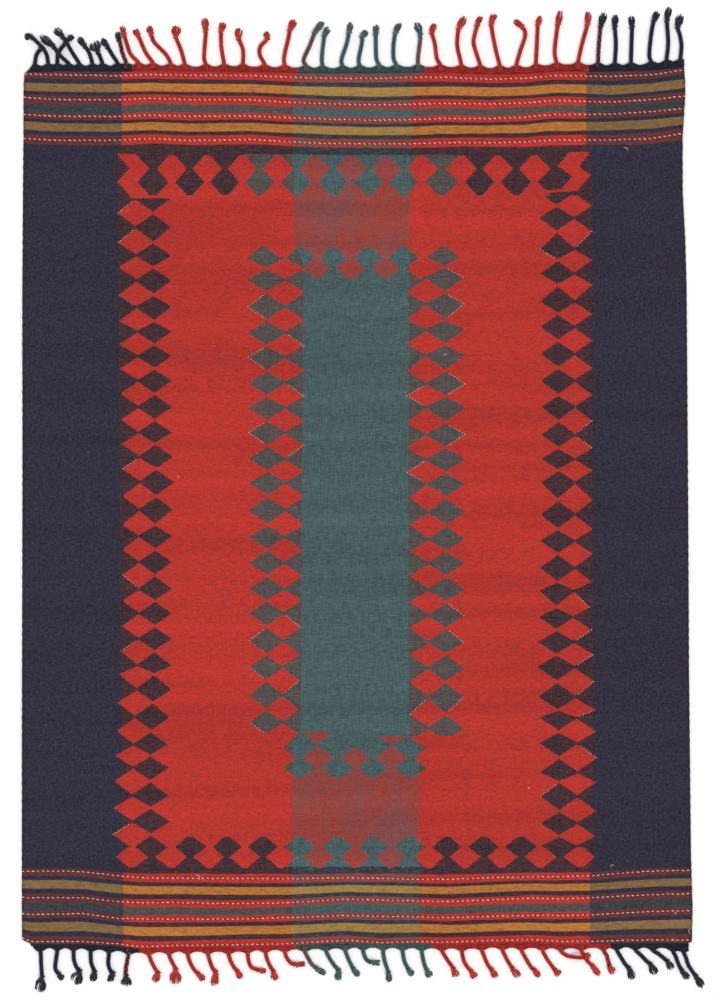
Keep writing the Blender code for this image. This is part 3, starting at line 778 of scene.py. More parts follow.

# %% [markdown]
# The cloth's material puts the groups together: weft by the plan, warp by five blocks, tones
# mixed, then the wool's own life. Dye takes unevenly, so long soft bands run across. The warp
# glints through in streaks. The selvedge is dark, and a few pale slubs and bits of lint catch the
# light. Wool scatters light and hardly shines, so it is rough with a little sheen.

# %% Dye the cloth
WARP_EDGES = (
    ((70, 121.8), (146, 121.8), (153, 117.5), (470, 120), (700, 121), (866, 122), (875, 123.5)),
    ((70, 292.6), (245, 294.5), (262, 303), (730, 301), (742, 292.3), (944, 292)),
    ((70, 413.3), (150, 411.5), (240, 409.5), (480, 408), (735, 409), (742, 418.5), (944, 419.5)),
    ((70, 585.7), (146, 586), (153, 591), (757, 593), (866, 592), (875, 590)),
)
TONES = {
    "red": (tone(104, 43, 45), tone(191, 45, 36), tone(156, 54, 48)),
    "navy": (tone(34, 37, 58), tone(46, 34, 44), tone(37, 46, 60)),
    "green": (tone(46, 57, 65), tone(71, 75, 74), tone(61, 91, 95)),
    "gold": (tone(137, 105, 62), tone(190, 120, 50), tone(171, 131, 64)),
}
WARP_TONES = (tone(38, 36, 54), tone(118, 42, 42), tone(84, 92, 88))

wool = bpy.data.materials.new("woven_wool")
wool.use_nodes = True
net = Net(wool.node_tree)
shader = wool.node_tree.nodes["Principled BSDF"]
loom = net.add("ShaderNodeUVMap", uv_map="loom").outputs[0]
threads = use_group(net, "threads", Loom=loom)
parts = net.add("ShaderNodeSeparateXYZ")
net.feed(parts.inputs[0], loom)
warp_column = net.sum("MULTIPLY", parts.outputs[0], 1000.0)
edges = [net.chart(threads["Band row"], places) for places in WARP_EDGES]
navy_warp = net.sum("ADD", net.less(warp_column, edges[0]), net.more(warp_column, edges[3]))
green_warp = net.inside(warp_column, edges[1], edges[2])


def over_warps(net, tones):
    """One weft's colour by what warp it crosses."""
    on_navy, on_red, on_green = tones
    return use_group(
        net, "weft_over_warps", On_navy=on_navy, On_red=on_red, On_green=on_green,
        Navy_warp=navy_warp, Green_warp=green_warp,
    )[0]


weft = use_group(
    net, "weft_plan", Column=threads["Column"], Row=threads["Row"], Band_row=threads["Band row"]
)
any_other = net.either(weft["Navy"], net.either(weft["Green"], weft["Gold"]))
weft_is_red = net.sum("SUBTRACT", 1.0, any_other)
in_field = net.inside(threads["Row"], 150, 868)
on_navy = net.blend(in_field, TONES["red"][0], tone(182, 44, 37))
colour = over_warps(net, (on_navy, *TONES["red"][1:]))
for name in ("Navy", "Green", "Gold"):
    colour = net.blend(weft[name], colour, over_warps(net, TONES[name.lower()]))
peep = net.span(threads["Streak"], 0.46, 0.74, 0.0, 0.55)
colour = net.blend(peep, colour, over_warps(net, WARP_TONES))
cloud = net.noise(loom, 26.0, 3.0, stretch=(1.0, 0.6, 1.0), offset=9.0)
clouded = net.both(net.both(green_warp, net.span(cloud, 0.42, 0.66, 0.0, 0.42)), weft_is_red)
colour = net.blend(clouded, colour, tone(96, 84, 84))
abrash = net.noise(loom, 6.0, 3.0, stretch=(0.35, 7.0, 1.0))
shade = net.span(abrash, 0.3, 0.7, 0.86, 1.14)
shade = net.both(shade, net.span(threads["Grain"], 0.25, 0.75, 0.82, 1.18))
# Lighter on the crossings that stand up and darker between them, by the height the bump also uses:
# painted light and shade of the weave.
shade = net.both(shade, net.span(threads["Height"], 0.0, 1.0, 0.88, 1.06))
hatch_depth = net.sum("MULTIPLY_ADD", net.either(weft["Green"], weft["Navy"]), 1.5, 0.5)
hatch = net.sum("MULTIPLY_ADD", net.sum("SUBTRACT", threads["Hatch"], 0.5), hatch_depth, 1.0)
shade = net.both(shade, hatch)
selvedge_mask = net.add("ShaderNodeAttribute", attribute_name="selvedge").outputs["Fac"]
shade = net.both(shade, net.span(selvedge_mask, 0.0, 1.0, 1.0, 0.55))
shading = net.add("ShaderNodeCombineXYZ")
for socket in shading.inputs:
    net.feed(socket, shade)
colour = net.blend(1.0, colour, shading.outputs[0], kind="MULTIPLY")
slub = net.noise(loom, 330.0, 1.0, stretch=(0.5, 1.6, 1.0), offset=3.0)
colour = net.blend(net.span(slub, 0.77, 0.84, 0.0, 0.35), colour, tone(190, 165, 150))
fuzz = net.noise(loom, 420.0, 2.0, stretch=(1.0, 1.0, 1.0), offset=31.0)
colour = net.blend(net.span(fuzz, 0.35, 0.75, 0.0, 0.09), colour, tone(168, 132, 122))
pale = net.noise(loom, 60.0, 2.0, stretch=(1.0, 16.0, 1.0), offset=21.0)
pale_share = net.both(weft["Green"], net.span(pale, 0.62, 0.76, 0.0, 0.45))
colour = net.blend(pale_share, colour, tone(136, 142, 132))
net.feed(shader.inputs["Base Color"], colour)
shader.inputs["Roughness"].default_value = 0.92
shader.inputs["Specular IOR Level"].default_value = 0.15
shader.inputs["Sheen Weight"].default_value = 0.12
shader.inputs["Sheen Roughness"].default_value = 0.5
bump = net.add("ShaderNodeBump")
bump.inputs["Strength"].default_value = 0.55
bump.inputs["Distance"].default_value = 0.0006
relief = net.sum("ADD", threads["Height"], net.sum("MULTIPLY", threads["Streak"], 1.4))
net.feed(bump.inputs["Height"], relief)
net.feed(shader.inputs["Normal"], bump.outputs[0])
cloth.data.materials.clear()
cloth.data.materials.append(wool)
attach(cloth, "root")
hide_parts("kilim_cloth")
print("cloth material", len(wool.node_tree.nodes), "nodes")

# %% [markdown]
# ## Yarn
# The fringe, the headings and the twining are yarn, not cloth. Handspun wool has fibres that run
# along it and an uneven dye, and the hollows between the fibres get painted shade. One group makes
# those three from Object coordinates, and each dye puts it in a material of its own. A darker copy
# of each dye is painted shade, laid where the gaps between strands and grains should look dark.

# %% Build the group for yarn and spin the dyes
net, given, result = new_group(
    "handspun",
    [("Colour", COLOUR), ("Fibre", FLOAT), ("Uneven", FLOAT)],
    [("Colour", COLOUR), ("Height", FLOAT)],
)
coordinates = net.add("ShaderNodeTexCoord").outputs["Object"]
fibre = net.noise(coordinates, 1100.0, 3.0, stretch=(1.5, 0.45, 1.2))
patch = net.noise(coordinates, 90.0, 2.0, offset=5.0)
# Darker where the fibre noise is low, which is also where the bump sinks: painted shade in the hollows
# between fibres. The patch noise is uneven dye.
shade = net.both(
    net.span(fibre, 0.3, 0.7, net.sum("SUBTRACT", 1.0, given["Fibre"]), 1.12),
    net.span(patch, 0.3, 0.7, net.sum("SUBTRACT", 1.0, given["Uneven"]), 1.1),
)
shading = net.add("ShaderNodeCombineXYZ")
for socket in shading.inputs:
    net.feed(socket, shade)
net.feed(result["Colour"], net.blend(1.0, given["Colour"], shading.outputs[0], kind="MULTIPLY"))
net.feed(result["Height"], fibre)


def spin(name, colour, fibre=0.4, uneven=0.25):
    """A material for yarn of one dye."""
    yarn = bpy.data.materials.new(name)
    yarn.use_nodes = True
    net = Net(yarn.node_tree)
    shader = yarn.node_tree.nodes["Principled BSDF"]
    spun = use_group(net, "handspun", Colour=colour, Fibre=fibre, Uneven=uneven)
    net.feed(shader.inputs["Base Color"], spun["Colour"])
    shader.inputs["Roughness"].default_value = 0.9
    shader.inputs["Specular IOR Level"].default_value = 0.15
    shader.inputs["Sheen Weight"].default_value = 0.15
    shader.inputs["Sheen Roughness"].default_value = 0.5
    bump = net.add("ShaderNodeBump")
    bump.inputs["Strength"].default_value = 0.6
    bump.inputs["Distance"].default_value = 0.0004
    net.feed(bump.inputs["Height"], spun["Height"])
    net.feed(shader.inputs["Normal"], bump.outputs[0])
    return yarn


YARNS = {
    "navy": spin("navy_yarn", tone(37, 41, 60)),
    "red": spin("red_yarn", tone(205, 52, 44)),
    "green": spin("green_yarn", tone(74, 106, 106)),
    "white": spin("white_yarn", tone(238, 214, 198), 0.2, 0.12),
    "dark_red": spin("dark_red_yarn", tone(136, 34, 34)),
    # The three darker copies below are painted shade, for the gaps between strands and grains.
    "navy_hollow": spin("navy_hollow", tone(22, 24, 38)),
    "red_hollow": spin("red_hollow", tone(116, 26, 26)),
    "green_hollow": spin("green_hollow", tone(38, 60, 62)),
}

# %% [markdown]
# ## Twined rows
# Four rows at each end are twined: two yarns, one white and one red, cross between every pair of
# warps, so that white and red stitches take turns. One stitch is a small sphere, drawn out in edit
# mode to a grain of yarn. It is copied along the row, a little differently each time, and
# turned down to the right at the north end.

# %% Model a stitch and lay copies of it
def grain(name, length, width, height):
    """One short grain of yarn, in millimetres, drawn out of a sphere."""
    deselect()
    bpy.ops.mesh.primitive_uv_sphere_add(segments=6, ring_count=4, radius=0.5 * MM)
    shape = bpy.context.object
    shape.name = name
    bpy.ops.object.mode_set(mode="EDIT")
    bpy.ops.mesh.select_all(action="SELECT")
    bpy.ops.transform.rotate(value=math.radians(90), orient_axis="Y", center_override=(0, 0, 0))
    bpy.ops.transform.resize(value=(length, width, height), center_override=(0, 0, 0))
    bpy.ops.object.mode_set(mode="OBJECT")
    return shape


def lay_copies(name, shape, stands, material):
    """One mesh that holds a copy of a shape for each stand."""
    places = []
    faces = []
    for stand in stands:
        first = len(places)
        places += [stand @ vert.co for vert in shape.data.vertices]
        faces += [[first + corner for corner in face.vertices] for face in shape.data.polygons]
    mesh = bpy.data.meshes.new(name)
    mesh.from_pydata(places, [], faces)
    mesh.materials.append(material)
    mesh.shade_smooth()
    piece = bpy.data.objects.new(name, mesh)
    bpy.context.scene.collection.objects.link(piece)
    return piece


def stand_at(where, turn, size=1.0, tip=0.0):
    """A stand for a copy: its place, how far it turns on the floor and how large it is."""
    turned = Matrix.Rotation(turn, 4, "Z") @ Matrix.Rotation(tip, 4, "X")
    return Matrix.Translation(where) @ turned @ Matrix.Scale(size, 4)


def join(name, pieces):
    """Joins pieces into one object, at the origin, with all their materials."""
    deselect()
    for piece in pieces:
        piece.select_set(True)
    bpy.context.view_layer.objects.active = pieces[0]
    bpy.ops.object.join()
    pieces[0].name = name
    return pieces[0]


# %% Twine the rows
STITCH_PITCH = 4.5
STITCH_SLANTS = {"north": math.radians(-22), "south": math.radians(-4)}


def line_places(row, pitch):
    """Places along a row of the chart, a pitch apart, each with the way that the row runs."""
    points = [Vector(cloth_point(number / 240, row)) for number in range(241)]
    found = []
    travelled = 0.0
    wanted = pitch / 2
    for start, end in zip(points, points[1:]):
        length = (end - start).length
        while wanted <= travelled + length:
            found.append((start.lerp(end, (wanted - travelled) / length), end - start))
            wanted += pitch
        travelled += length
    return found


stitch = grain("stitch", 5.9, 1.7, 1.7)
chance = random.Random(11)
for end, pins in (("north", NORTH_PINS[1:]), ("south", SOUTH_PINS[1:])):
    stands = {"white": [], "dark_red": []}
    for pin in pins:
        for number, (where, way) in enumerate(line_places(pin, STITCH_PITCH)):
            colour = ("white", "dark_red")[number % 2]
            height = cloth_top(*where) + RIB_RISE + 0.25
            spot = place(where.x + chance.uniform(-0.4, 0.4), where.y + chance.uniform(-0.3, 0.3), height)
            turn = math.atan2(way.y, way.x) + STITCH_SLANTS[end] + chance.uniform(-0.16, 0.16)
            size = chance.uniform(0.82, 1.08) * (1.0 if colour == "white" else 1.1)
            stands[colour].append(stand_at(spot, turn, size))
    rows = [lay_copies(f"{end}_{dye}", stitch, stands[dye], YARNS[dye]) for dye in stands]
    twining = join(f"twining_{end}", rows)
    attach(twining, "root")
    print(twining.name, len(twining.data.polygons), "faces")

# %% [markdown]
# Here and there the weaver caught a slanting edge with a pale thread, which shows as a dotted line
# of tiny stitches. The chart names each such side by the row of its lozenge's point, with -1 for
# the side above the point and 1 for the side below. A few bits of pale yarn lie loose on
# the cloth as well, each a short bent curve.

# %% Note the dotted edges and the loose bits
DOTTED_EDGES = (
    (LEFT_TIPS, LEFT_OUTER, LEFT_INNER,
     ((213, -1), (295, 1), (468.8, -1), (650.8, -1), (834, -1), (242.5, -1), (575, 1))),
    (RIGHT_TIPS, RIGHT_OUTER, RIGHT_INNER,
     ((607.5, -1), (630, 1), (654.5, 1), (681.5, 1), (710, 1), (757.5, -1), (796, -1), (231.8, 1),
      (421, 1), (448, -1), (249.5, 1))),
    (MEDALLION_LEFT_TIPS, MEDALLION_LEFT_OUTER, MEDALLION_LEFT_INNER,
     ((306.8, -1), (306.8, 1), (357, -1), (357, 1), (432.5, -1), (432.5, 1), (346, -1), (396, -1),
      (445.5, 1), (640.5, -1), (667, 1), (680.5, 1), (722, 1), (627, -1))),
    (MEDALLION_RIGHT_TIPS, MEDALLION_RIGHT_OUTER, MEDALLION_RIGHT_INNER,
     ((304, -1), (304, 1), (383.8, -1), (383.8, 1), (434.5, -1), (434.5, 1), (396, -1), (396, 1),
      (472.5, -1), (472.5, 1), (642, -1), (615.5, -1), (277.5, -1), (714, -1), (697, 1))),
)
LOOSE_BITS = (
    (-295.0, -680.0, 12.0, -50.0), (450.0, -660.0, 8.0, 20.0), (590.0, -777.0, 11.0, 80.0),
    (560.0, -794.0, 9.0, -15.0), (565.0, -745.0, 7.0, 60.0), (475.0, 630.0, 9.0, -35.0),
    (150.0, 260.0, 6.0, 30.0), (-330.0, 40.0, 6.0, 100.0), (300.0, -520.0, 5.0, -70.0),
)


def dotted_side(tips, outer, inner, tip_row, step):
    """The two ends of one side of a lozenge, from its point to where it meets its neighbour."""
    number = tips.index(tip_row)
    near, far = (outer, inner) if number % 2 else (inner, outer)
    point = between(near, tip_row)
    neck = point + (between(far, tip_row) - point) * 0.31
    return (point, tip_row), (neck, tips[number + step] + (tip_row - tips[number + step]) * 0.08)


def pale_dots(chance):
    """Stands for the stitches along every dotted side."""
    stands = []
    for tips, outer, inner, sides in DOTTED_EDGES:
        for tip_row, step in sides:
            ends = dotted_side(tips, outer, inner, tip_row, step)
            places = [Vector(((x - CHART_MIDDLE[0]) * STEP, along_of(row))) for x, row in ends]
            count = round((places[1] - places[0]).length / 5.6)
            for number in range(count):
                where = places[0].lerp(places[1], (number + chance.uniform(-0.1, 0.1)) / count)
                spot = place(*where, cloth_top(*where) + 0.15)
                stands.append(stand_at(spot, chance.uniform(-0.5, 0.5), chance.uniform(0.8, 1.2)))
    return stands


# %% [markdown]
# ## Headings and fringe
# Past the last twined row the warp ends are plaited into a flat heading, and from it they leave as
# braids. Each heading is five blocks long, as the warp changes colour. These tables come from the
# same plan as the solids: the outer edge of each heading, and every braid's root, bends, knot, tip,
# half width of tuft, and how far along it climbs over a neighbour.

# %% Note the headings and the braids
NORTH_RIM = (
    (-592.0, 778.0),
    (-550.0, 779.5),
    (-500.0, 778.5),
    (-430.0, 780.0),
    (-390.0, 781.0),
    (-300.0, 778.0),
    (-230.0, 779.0),
    (-118.0, 776.5),
    (-50.0, 775.3),
    (85.0, 778.0),
    (160.0, 777.5),
    (230.0, 775.5),
    (297.0, 777.0),
    (331.0, 780.6),
    (370.0, 782.4),
    (441.0, 780.4),
    (500.0, 781.4),
    (560.0, 787.0),
    (580.0, 788.0),
)
SOUTH_RIM = (
    (-586.0, -811.0),
    (-562.0, -808.0),
    (-506.0, -809.0),
    (-441.0, -813.5),
    (-402.0, -817.0),
    (-330.0, -815.0),
    (-225.0, -815.0),
    (-190.0, -812.5),
    (-120.0, -811.0),
    (-46.0, -809.0),
    (-13.0, -807.5),
    (124.0, -809.0),
    (197.0, -809.5),
    (233.0, -807.5),
    (378.0, -809.0),
    (474.0, -807.0),
    (540.0, -808.0),
    (570.0, -811.5),
    (586.0, -812.0),
)
Braid = namedtuple("Braid", "root bends knot tip tuft crossing")
NORTH_BRAIDS = (
    (-588.5, ((-585, 800),), (-576, 810.5), (-570, 811.5), 3.0, None),
    (-564.5, ((-567.5, 800), (-575, 812), (-585, 822)), (-595, 831), (-608, 833), 5.0, 34.0),
    (-548.0, ((-547.5, 798), (-543, 808), (-532, 822)), (-526, 828), (-519.5, 835), 4.0, None),
    (-527.5, ((-539, 793), (-547, 802)), (-556, 815), (-580, 834), 6.0, 25.0),
    (-508.5, ((-520.5, 802), (-531.5, 821)), (-540, 833), (-553, 847), 6.0, 43.0),
    (-485.0, ((-488, 795), (-492.5, 806)), (-499.5, 816), (-511, 831.5), 5.0, None),
    (-467.0, ((-471, 795),), (-475.5, 805), (-484, 824), 10.0, None),
    (-439.5, ((-448, 797),), (-459, 815), (-470, 829), 5.0, None),
    (-424.0, ((-431, 802), (-434, 816)), (-437.5, 828), (-441, 841), 4.0, None),
    (-402.0, ((-416, 800), (-424, 822)), (-428, 836), (-433, 852), 4.5, None),
    (-376.0, ((-389, 803), (-400, 828)), (-403, 835), (-411, 846), 5.0, None),
    (-344.0, ((-353, 800), (-374, 822)), (-379, 837), (-384, 852), 5.0, None),
    (-319.0, ((-325, 806),), (-335, 833), (-333, 852), 8.0, None),
    (-281.0, ((-284, 795), (-281, 835)), (-281, 844), (-284, 866), 6.0, None),
    (-248.0, ((-253, 815),), (-253, 843), (-249, 858), 6.0, None),
    (-214.0, ((-214, 808),), (-222, 830), (-220, 848), 6.0, None),
    (-175.0, ((-184, 800), (-182, 815)), (-170, 828), (-175, 841), 5.0, None),
    (-139.0, ((-140, 795), (-132, 830)), (-129, 845), (-121, 863), 6.0, None),
    (-101.0, ((-105, 790), (-94, 815)), (-84, 840), (-69, 860), 5.0, None),
    (-71.0, ((-72, 795),), (-67, 835), (-59, 849), 5.0, None),
    (-35.0, ((-37, 790), (-28, 817)), (-23, 840), (-20, 859), 5.0, None),
    (-4.0, ((-6, 790), (0, 820)), (1, 833), (10, 842), 5.0, None),
    (31.0, ((26, 792), (25, 820)), (25, 838), (26, 854), 5.0, None),
    (62.0, ((57, 792), (57, 818)), (61, 840), (69, 858), 5.0, None),
    (101.0, ((101, 795),), (105, 836), (95, 857), 6.0, None),
    (141.0, ((135, 792), (131, 820)), (126, 840), (132, 856), 5.0, None),
    (179.0, ((172, 812), (172, 830)), (175, 848), (186, 869), 6.0, None),
    (213.0, ((204, 808), (201, 825)), (208, 853), (215, 869), 5.0, None),
    (248.0, ((240, 812),), (233, 855), (240, 874), 5.0, None),
    (278.0, ((285, 806), (294, 835)), (288, 850), (273, 861), 5.0, None),
    (313.0, ((315, 820),), (317, 855), (322, 869), 5.0, None),
    (350.0, ((347, 800), (348, 820)), (353, 855), (358, 880), 5.0, None),
    (389.0, ((396, 818),), (406, 855), (407, 878), 5.0, None),
    (425.0, ((426, 812),), (430, 852), (437, 876), 6.0, None),
    (455.0, ((457, 818),), (455, 850), (456, 872), 5.0, None),
    (484.0, ((485, 820),), (486, 850), (484, 870), 5.0, None),
    (520.0, ((517, 800), (521, 840)), (526, 862), (533, 878), 5.0, None),
    (548.0, ((551, 820),), (549, 862), (553, 886), 5.0, None),
    (573.0, ((575, 815), (572, 835)), (568, 850), (575, 873), 6.0, None),
)
SOUTH_BRAIDS = (
    (-578.0, ((-577, -840),), (-576, -862), (-581, -888), 9.0, None),
    (-548.0, ((-550.5, -830), (-551.5, -846)), (-544, -857), (-539, -866), 5.0, None),
    (-519.0, ((-518, -830), (-513.5, -843)), (-508, -851), (-518, -873), 10.0, None),
    (-488.0, ((-487, -835),), (-481, -853), (-487, -868), 6.0, None),
    (-455.0, ((-456.5, -835), (-453, -848)), (-448, -855), (-457, -869), 5.0, None),
    (-420.0, ((-422, -830), (-425, -848)), (-424.5, -860), (-423.5, -877), 10.0, None),
    (-383.0, ((-379, -832), (-372.5, -845)), (-367, -855), (-376, -869), 6.0, None),
    (-347.0, ((-343.5, -830), (-337, -842)), (-335, -849), (-337, -874), 10.0, None),
    (-313.5, ((-310, -832), (-302, -847)), (-292.5, -857), (-284, -867), 5.0, None),
    (-277.0, ((-273.5, -832), (-268.5, -845)), (-263, -853), (-267.5, -877), 6.0, None),
    (-240.0, ((-236, -832), (-230, -843)), (-223, -852), (-218, -864), 5.0, None),
    (-205.5, ((-204, -830), (-199.5, -842), (-189, -847)), (-181, -849), (-172, -849), 4.0, None),
    (-173.5, ((-170, -830), (-164.5, -842)), (-158.5, -853), (-157, -867), 6.0, None),
    (-138.5, ((-135.5, -825), (-128, -835)), (-117, -838), (-101, -836), 4.0, None),
    (-102.5, ((-97, -826), (-89.5, -838)), (-80, -846), (-65, -855), 5.0, None),
    (-64.5, ((-57.5, -828), (-48.5, -841)), (-41.5, -850), (-44.5, -867), 6.0, None),
    (-30.0, ((-25.5, -825), (-19.5, -838)), (-14, -848), (-5, -859), 5.0, None),
    (2.0, ((4.5, -822), (10, -831)), (21, -834.5), (34, -834), 4.0, None),
    (38.0, ((40.5, -830),), (48, -855), (48, -870), 5.0, None),
    (73.0, ((76, -830), (80, -840)), (85, -849), (92, -858), 5.0, None),
    (107.5, ((110.5, -830), (114, -842)), (117.5, -850), (124, -861), 6.0, None),
    (144.0, ((152, -827), (161, -840)), (165.5, -848), (170, -861), 6.0, None),
    (180.0, ((183, -830), (189.5, -842)), (198, -852), (204, -863), 6.0, None),
    (216.0, ((222, -828), (227.5, -840)), (234.5, -849), (242, -863), 5.0, None),
    (253.0, ((260.5, -828),), (272, -847), (283, -862), 6.0, None),
    (287.0, ((295.5, -828), (304, -842)), (312, -850), (319, -861), 5.0, None),
    (325.0, ((332.5, -827), (341.5, -840)), (349, -850), (357, -857), 6.0, None),
    (357.5, ((364, -819), (373, -823), (387, -824)), (400, -824), (413, -821), 5.0, 43.0),
    (395.0, ((399, -820), (404, -829), (410, -836)), (416, -842), (428, -858), 5.0, None),
    (434.5, ((440.5, -822), (444, -835)), (446, -843), (454, -855), 6.0, None),
    (458.5, ((465, -823), (473.5, -837)), (481, -846), (488, -865), 6.0, None),
    (492.0, ((502, -821), (512.5, -832)), (520, -839), (529, -856), 7.0, None),
    (523.0, ((534, -819), (545, -828)), (551, -834), (558.5, -847), 6.0, None),
    (560.0, ((564.5, -823), (570, -838)), (577, -851), (588, -865), 5.0, None),
    (579.0, ((583, -825), (588, -840)), (602, -861), (613, -880), 6.0, None),
)
NORTH_BLOCKS = (
    ("navy_west", "navy", -604.0, -414.0),
    ("red_west", "red", -414.0, -117.0),
    ("green", "green", -117.0, 112.0),
    ("red_east", "red", 112.0, 408.0),
    ("navy_east", "navy", 408.0, 580.0),
)
SOUTH_BLOCKS = (
    ("navy_west", "navy", -604.0, -402.0),
    ("red_west", "red", -402.0, -118.0),
    ("green", "green", -118.0, 125.0),
    ("red_east", "red", 125.0, 447.0),
    ("navy_east", "navy", 447.0, 592.0),
)
SECOND_DYES = {
    ("north", -424.0): "red",
    ("north", -101.0): "red",
    ("north", 101.0): "red",
    ("north", 425.0): "red",
    ("south", -420.0): "red",
    ("south", -102.5): "red",
    ("south", 434.5): "navy",
}

# %% [markdown]
# A braid is three strands that swing from side to side in turn and pass over one another, so each
# strand is a curve: a sine across the way, and a sine of half that length up and down. The curves
# get a round bevel and are converted to meshes. The ends are closed and their doubles merged.

# %% Follow a braid's path
PATH_STEP = 2.0
WAY_REACH = 4.0
ROOT_PROUD = 4.0
HOP_RISE = 7.2
HOP_REACH = 9.0
HOP_SLOPE = 13.0


class Path:
    """A smooth curve through places on the plan, read by the distance along it."""

    def __init__(self, points, step=PATH_STEP):
        ends = [2 * points[0] - points[1], *points, 2 * points[-1] - points[-2]]
        self.places = [points[0]]
        for before, start, end, after in zip(ends, ends[1:], ends[2:], ends[3:]):
            count = math.ceil((end - start).length / step)
            for number in range(1, count + 1):
                t = number / count
                slope = (end - before) * t + (2 * before - 5 * start + 4 * end - after) * t * t
                cube = (3 * start - before - 3 * end + after) * t**3
                self.places.append(0.5 * (2 * start + slope + cube))
        self.lengths = [0.0]
        for start, end in zip(self.places, self.places[1:]):
            self.lengths.append(self.lengths[-1] + (end - start).length)

    def at(self, distance):
        for number, reached in enumerate(self.lengths[1:], 1):
            if distance <= reached or number == len(self.lengths) - 1:
                before = self.lengths[number - 1]
                share = (distance - before) / (reached - before)
                return self.places[number - 1].lerp(self.places[number], share)

    def way(self, distance):
        ahead = self.at(min(distance + WAY_REACH, self.lengths[-1]))
        return (ahead - self.at(max(distance - WAY_REACH, 0.0))).normalized()

    def distance_of(self, point):
        pairs = zip(self.places, self.lengths)
        return min(pairs, key=lambda pair: (pair[0] - point).length)[1]


def hop_height(distance, crossing):
    """How far a braid that climbs over another stands off the floor."""
    if crossing is None:
        return 0.0
    return HOP_RISE * smooth_step(1 - (abs(distance - crossing) - HOP_REACH) / HOP_SLOPE)


# %% Wind yarn along lines
def wind_yarn(name, lines, radius, material, sides=1, ring=False):
    """A mesh of round yarn along lines of (point, thickness), in metres."""
    data = bpy.data.curves.new(name, "CURVE")
    data.dimensions = "3D"
    data.bevel_depth = radius * MM
    data.bevel_resolution = sides
    data.use_fill_caps = True
    for line in lines:
        spline = data.splines.new("POLY")
        spline.points.add(len(line) - 1)
        spline.use_cyclic_u = ring
        for point, (where, thickness) in zip(spline.points, line):
            point.co = (*where, 1.0)
            point.radius = thickness
    piece = bpy.data.objects.new(name, data)
    bpy.context.scene.collection.objects.link(piece)
    deselect()
    piece.select_set(True)
    bpy.context.view_layer.objects.active = piece
    bpy.ops.object.convert(target="MESH")
    piece = bpy.context.object
    bpy.ops.object.mode_set(mode="EDIT")
    bpy.ops.mesh.select_all(action="SELECT")
    bpy.ops.mesh.remove_doubles(threshold=0.00001)
    bpy.ops.mesh.normals_make_consistent(inside=False)
    bpy.ops.object.mode_set(mode="OBJECT")
    bpy.ops.object.shade_smooth()
    piece.data.materials.clear()
    piece.data.materials.append(material)
    return piece


# %% Stitch the dotted edges and drop the loose bits
pale_stitch = grain("pale_stitch", 1.8, 1.5, 1.2)
dots = lay_copies("dots", pale_stitch, pale_dots(random.Random(5)), YARNS["white"])
bits = []
for across, along, length, turn in LOOSE_BITS:
    way = Vector((math.cos(math.radians(turn)), math.sin(math.radians(turn))))
    bit = []
    for number in range(6):
        share = number / 5 - 0.5
        bend = Vector((-way.y, way.x)) * (0.22 * length * math.cos(share * math.pi * 1.3))
        where = Vector((across, along)) + way * (share * length) + bend
        bit.append((place(*where, cloth_top(*where) + 0.45), 1.0 - abs(share)))
    bits.append(bit)
loose = wind_yarn("loose", bits, 0.55, YARNS["white"], sides=0)
pale_threads = join("pale_threads", [dots, loose])
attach(pale_threads, "root")
print("pale threads", len(pale_threads.data.polygons), "faces")

# %% Plait the strands of a braid
BRAID_PERIOD = 11.5
STRAND_SWING = 2.7
STRAND_LIFT = 1.0
STRAND_RADIUS = 1.5
# A dark tube of this radius runs inside each braid as painted shade between its strands.
SHADE_CORE_RADIUS = 1.9
STRAND_STEP = 1.5
KNOT_NECK = 3.0


def braid_path(braid, rim, outwards):
    """The path of a braid from inside the heading to its tip, and where its knot lies on it."""
    edge = between(rim, braid.root)
    points = [Vector((braid.root, edge - outwards * 5.0))]
    points.append(Vector((braid.root, edge + outwards * ROOT_PROUD)))
    points.extend(Vector(bend) for bend in (*braid.bends, braid.knot, braid.tip))
    path = Path(points)
    return path, path.distance_of(Vector(braid.knot))


def strands_of(braid, path, knot_at, start_turn):
    """Three lines of (point, thickness) that swing across the path in turn."""
    strands = []
    count = math.ceil((knot_at - KNOT_NECK) / STRAND_STEP)
    crossing = None if braid.crossing is None else braid.crossing + 5.0 + ROOT_PROUD
    for strand in range(3):
        line = []
        for number in range(count + 1):
            distance = (knot_at - KNOT_NECK) * number / count
            turn = math.tau * (distance / BRAID_PERIOD + strand / 3) + start_turn
            way = path.way(distance)
            spot = path.at(distance) + Vector((way.y, -way.x)) * (STRAND_SWING * math.sin(turn))
            height = 2.8 + STRAND_LIFT * math.sin(2 * turn) + hop_height(distance, crossing)
            thickness = 1.0 + 0.06 * math.sin(distance * 0.9 + strand)
            line.append((place(*spot, height), thickness))
        strands.append(line)
    return strands


def shade_core_of(braid, path, knot_at):
    """A line of (point, thickness) through the middle of a braid: a tube of painted shade that shows dark
    between its strands.
    """
    crossing = None if braid.crossing is None else braid.crossing + 5.0 + ROOT_PROUD
    count = math.ceil(knot_at / 4.0)
    shade_core = []
    for number in range(count + 1):
        distance = knot_at * number / count
        height = 2.7 + hop_height(distance, crossing)
        shade_core.append((place(*path.at(distance), height), 1.0))
    return shade_core


# %% [markdown]
# A knot is the braid's own end wound round itself, so it is two fat rings, tilted against each
# other. The tuft is what is left of the warps: some thirty thin ends that leave the knot together,
# spread, wave a little and sink to the floor, no two as long as each other.

# %% Tie the knots and fray the tufts
KNOT_RADIUS = 2.1


def knot_rings(path, knot_at, lift):
    rings = []
    way = path.way(knot_at)
    side = Vector((way.y, -way.x))
    for offset, tilt in ((-1.5, 0.5), (1.4, -0.4)):
        ring = []
        for number in range(12):
            angle = math.tau * number / 12
            sideways = 3.6 * math.cos(angle)
            spot = path.at(knot_at + offset) + side * sideways + way * (tilt * sideways)
            ring.append((place(*spot, 3.9 + lift + 1.8 * math.sin(angle)), 1.0))
        rings.append(ring)
    return rings


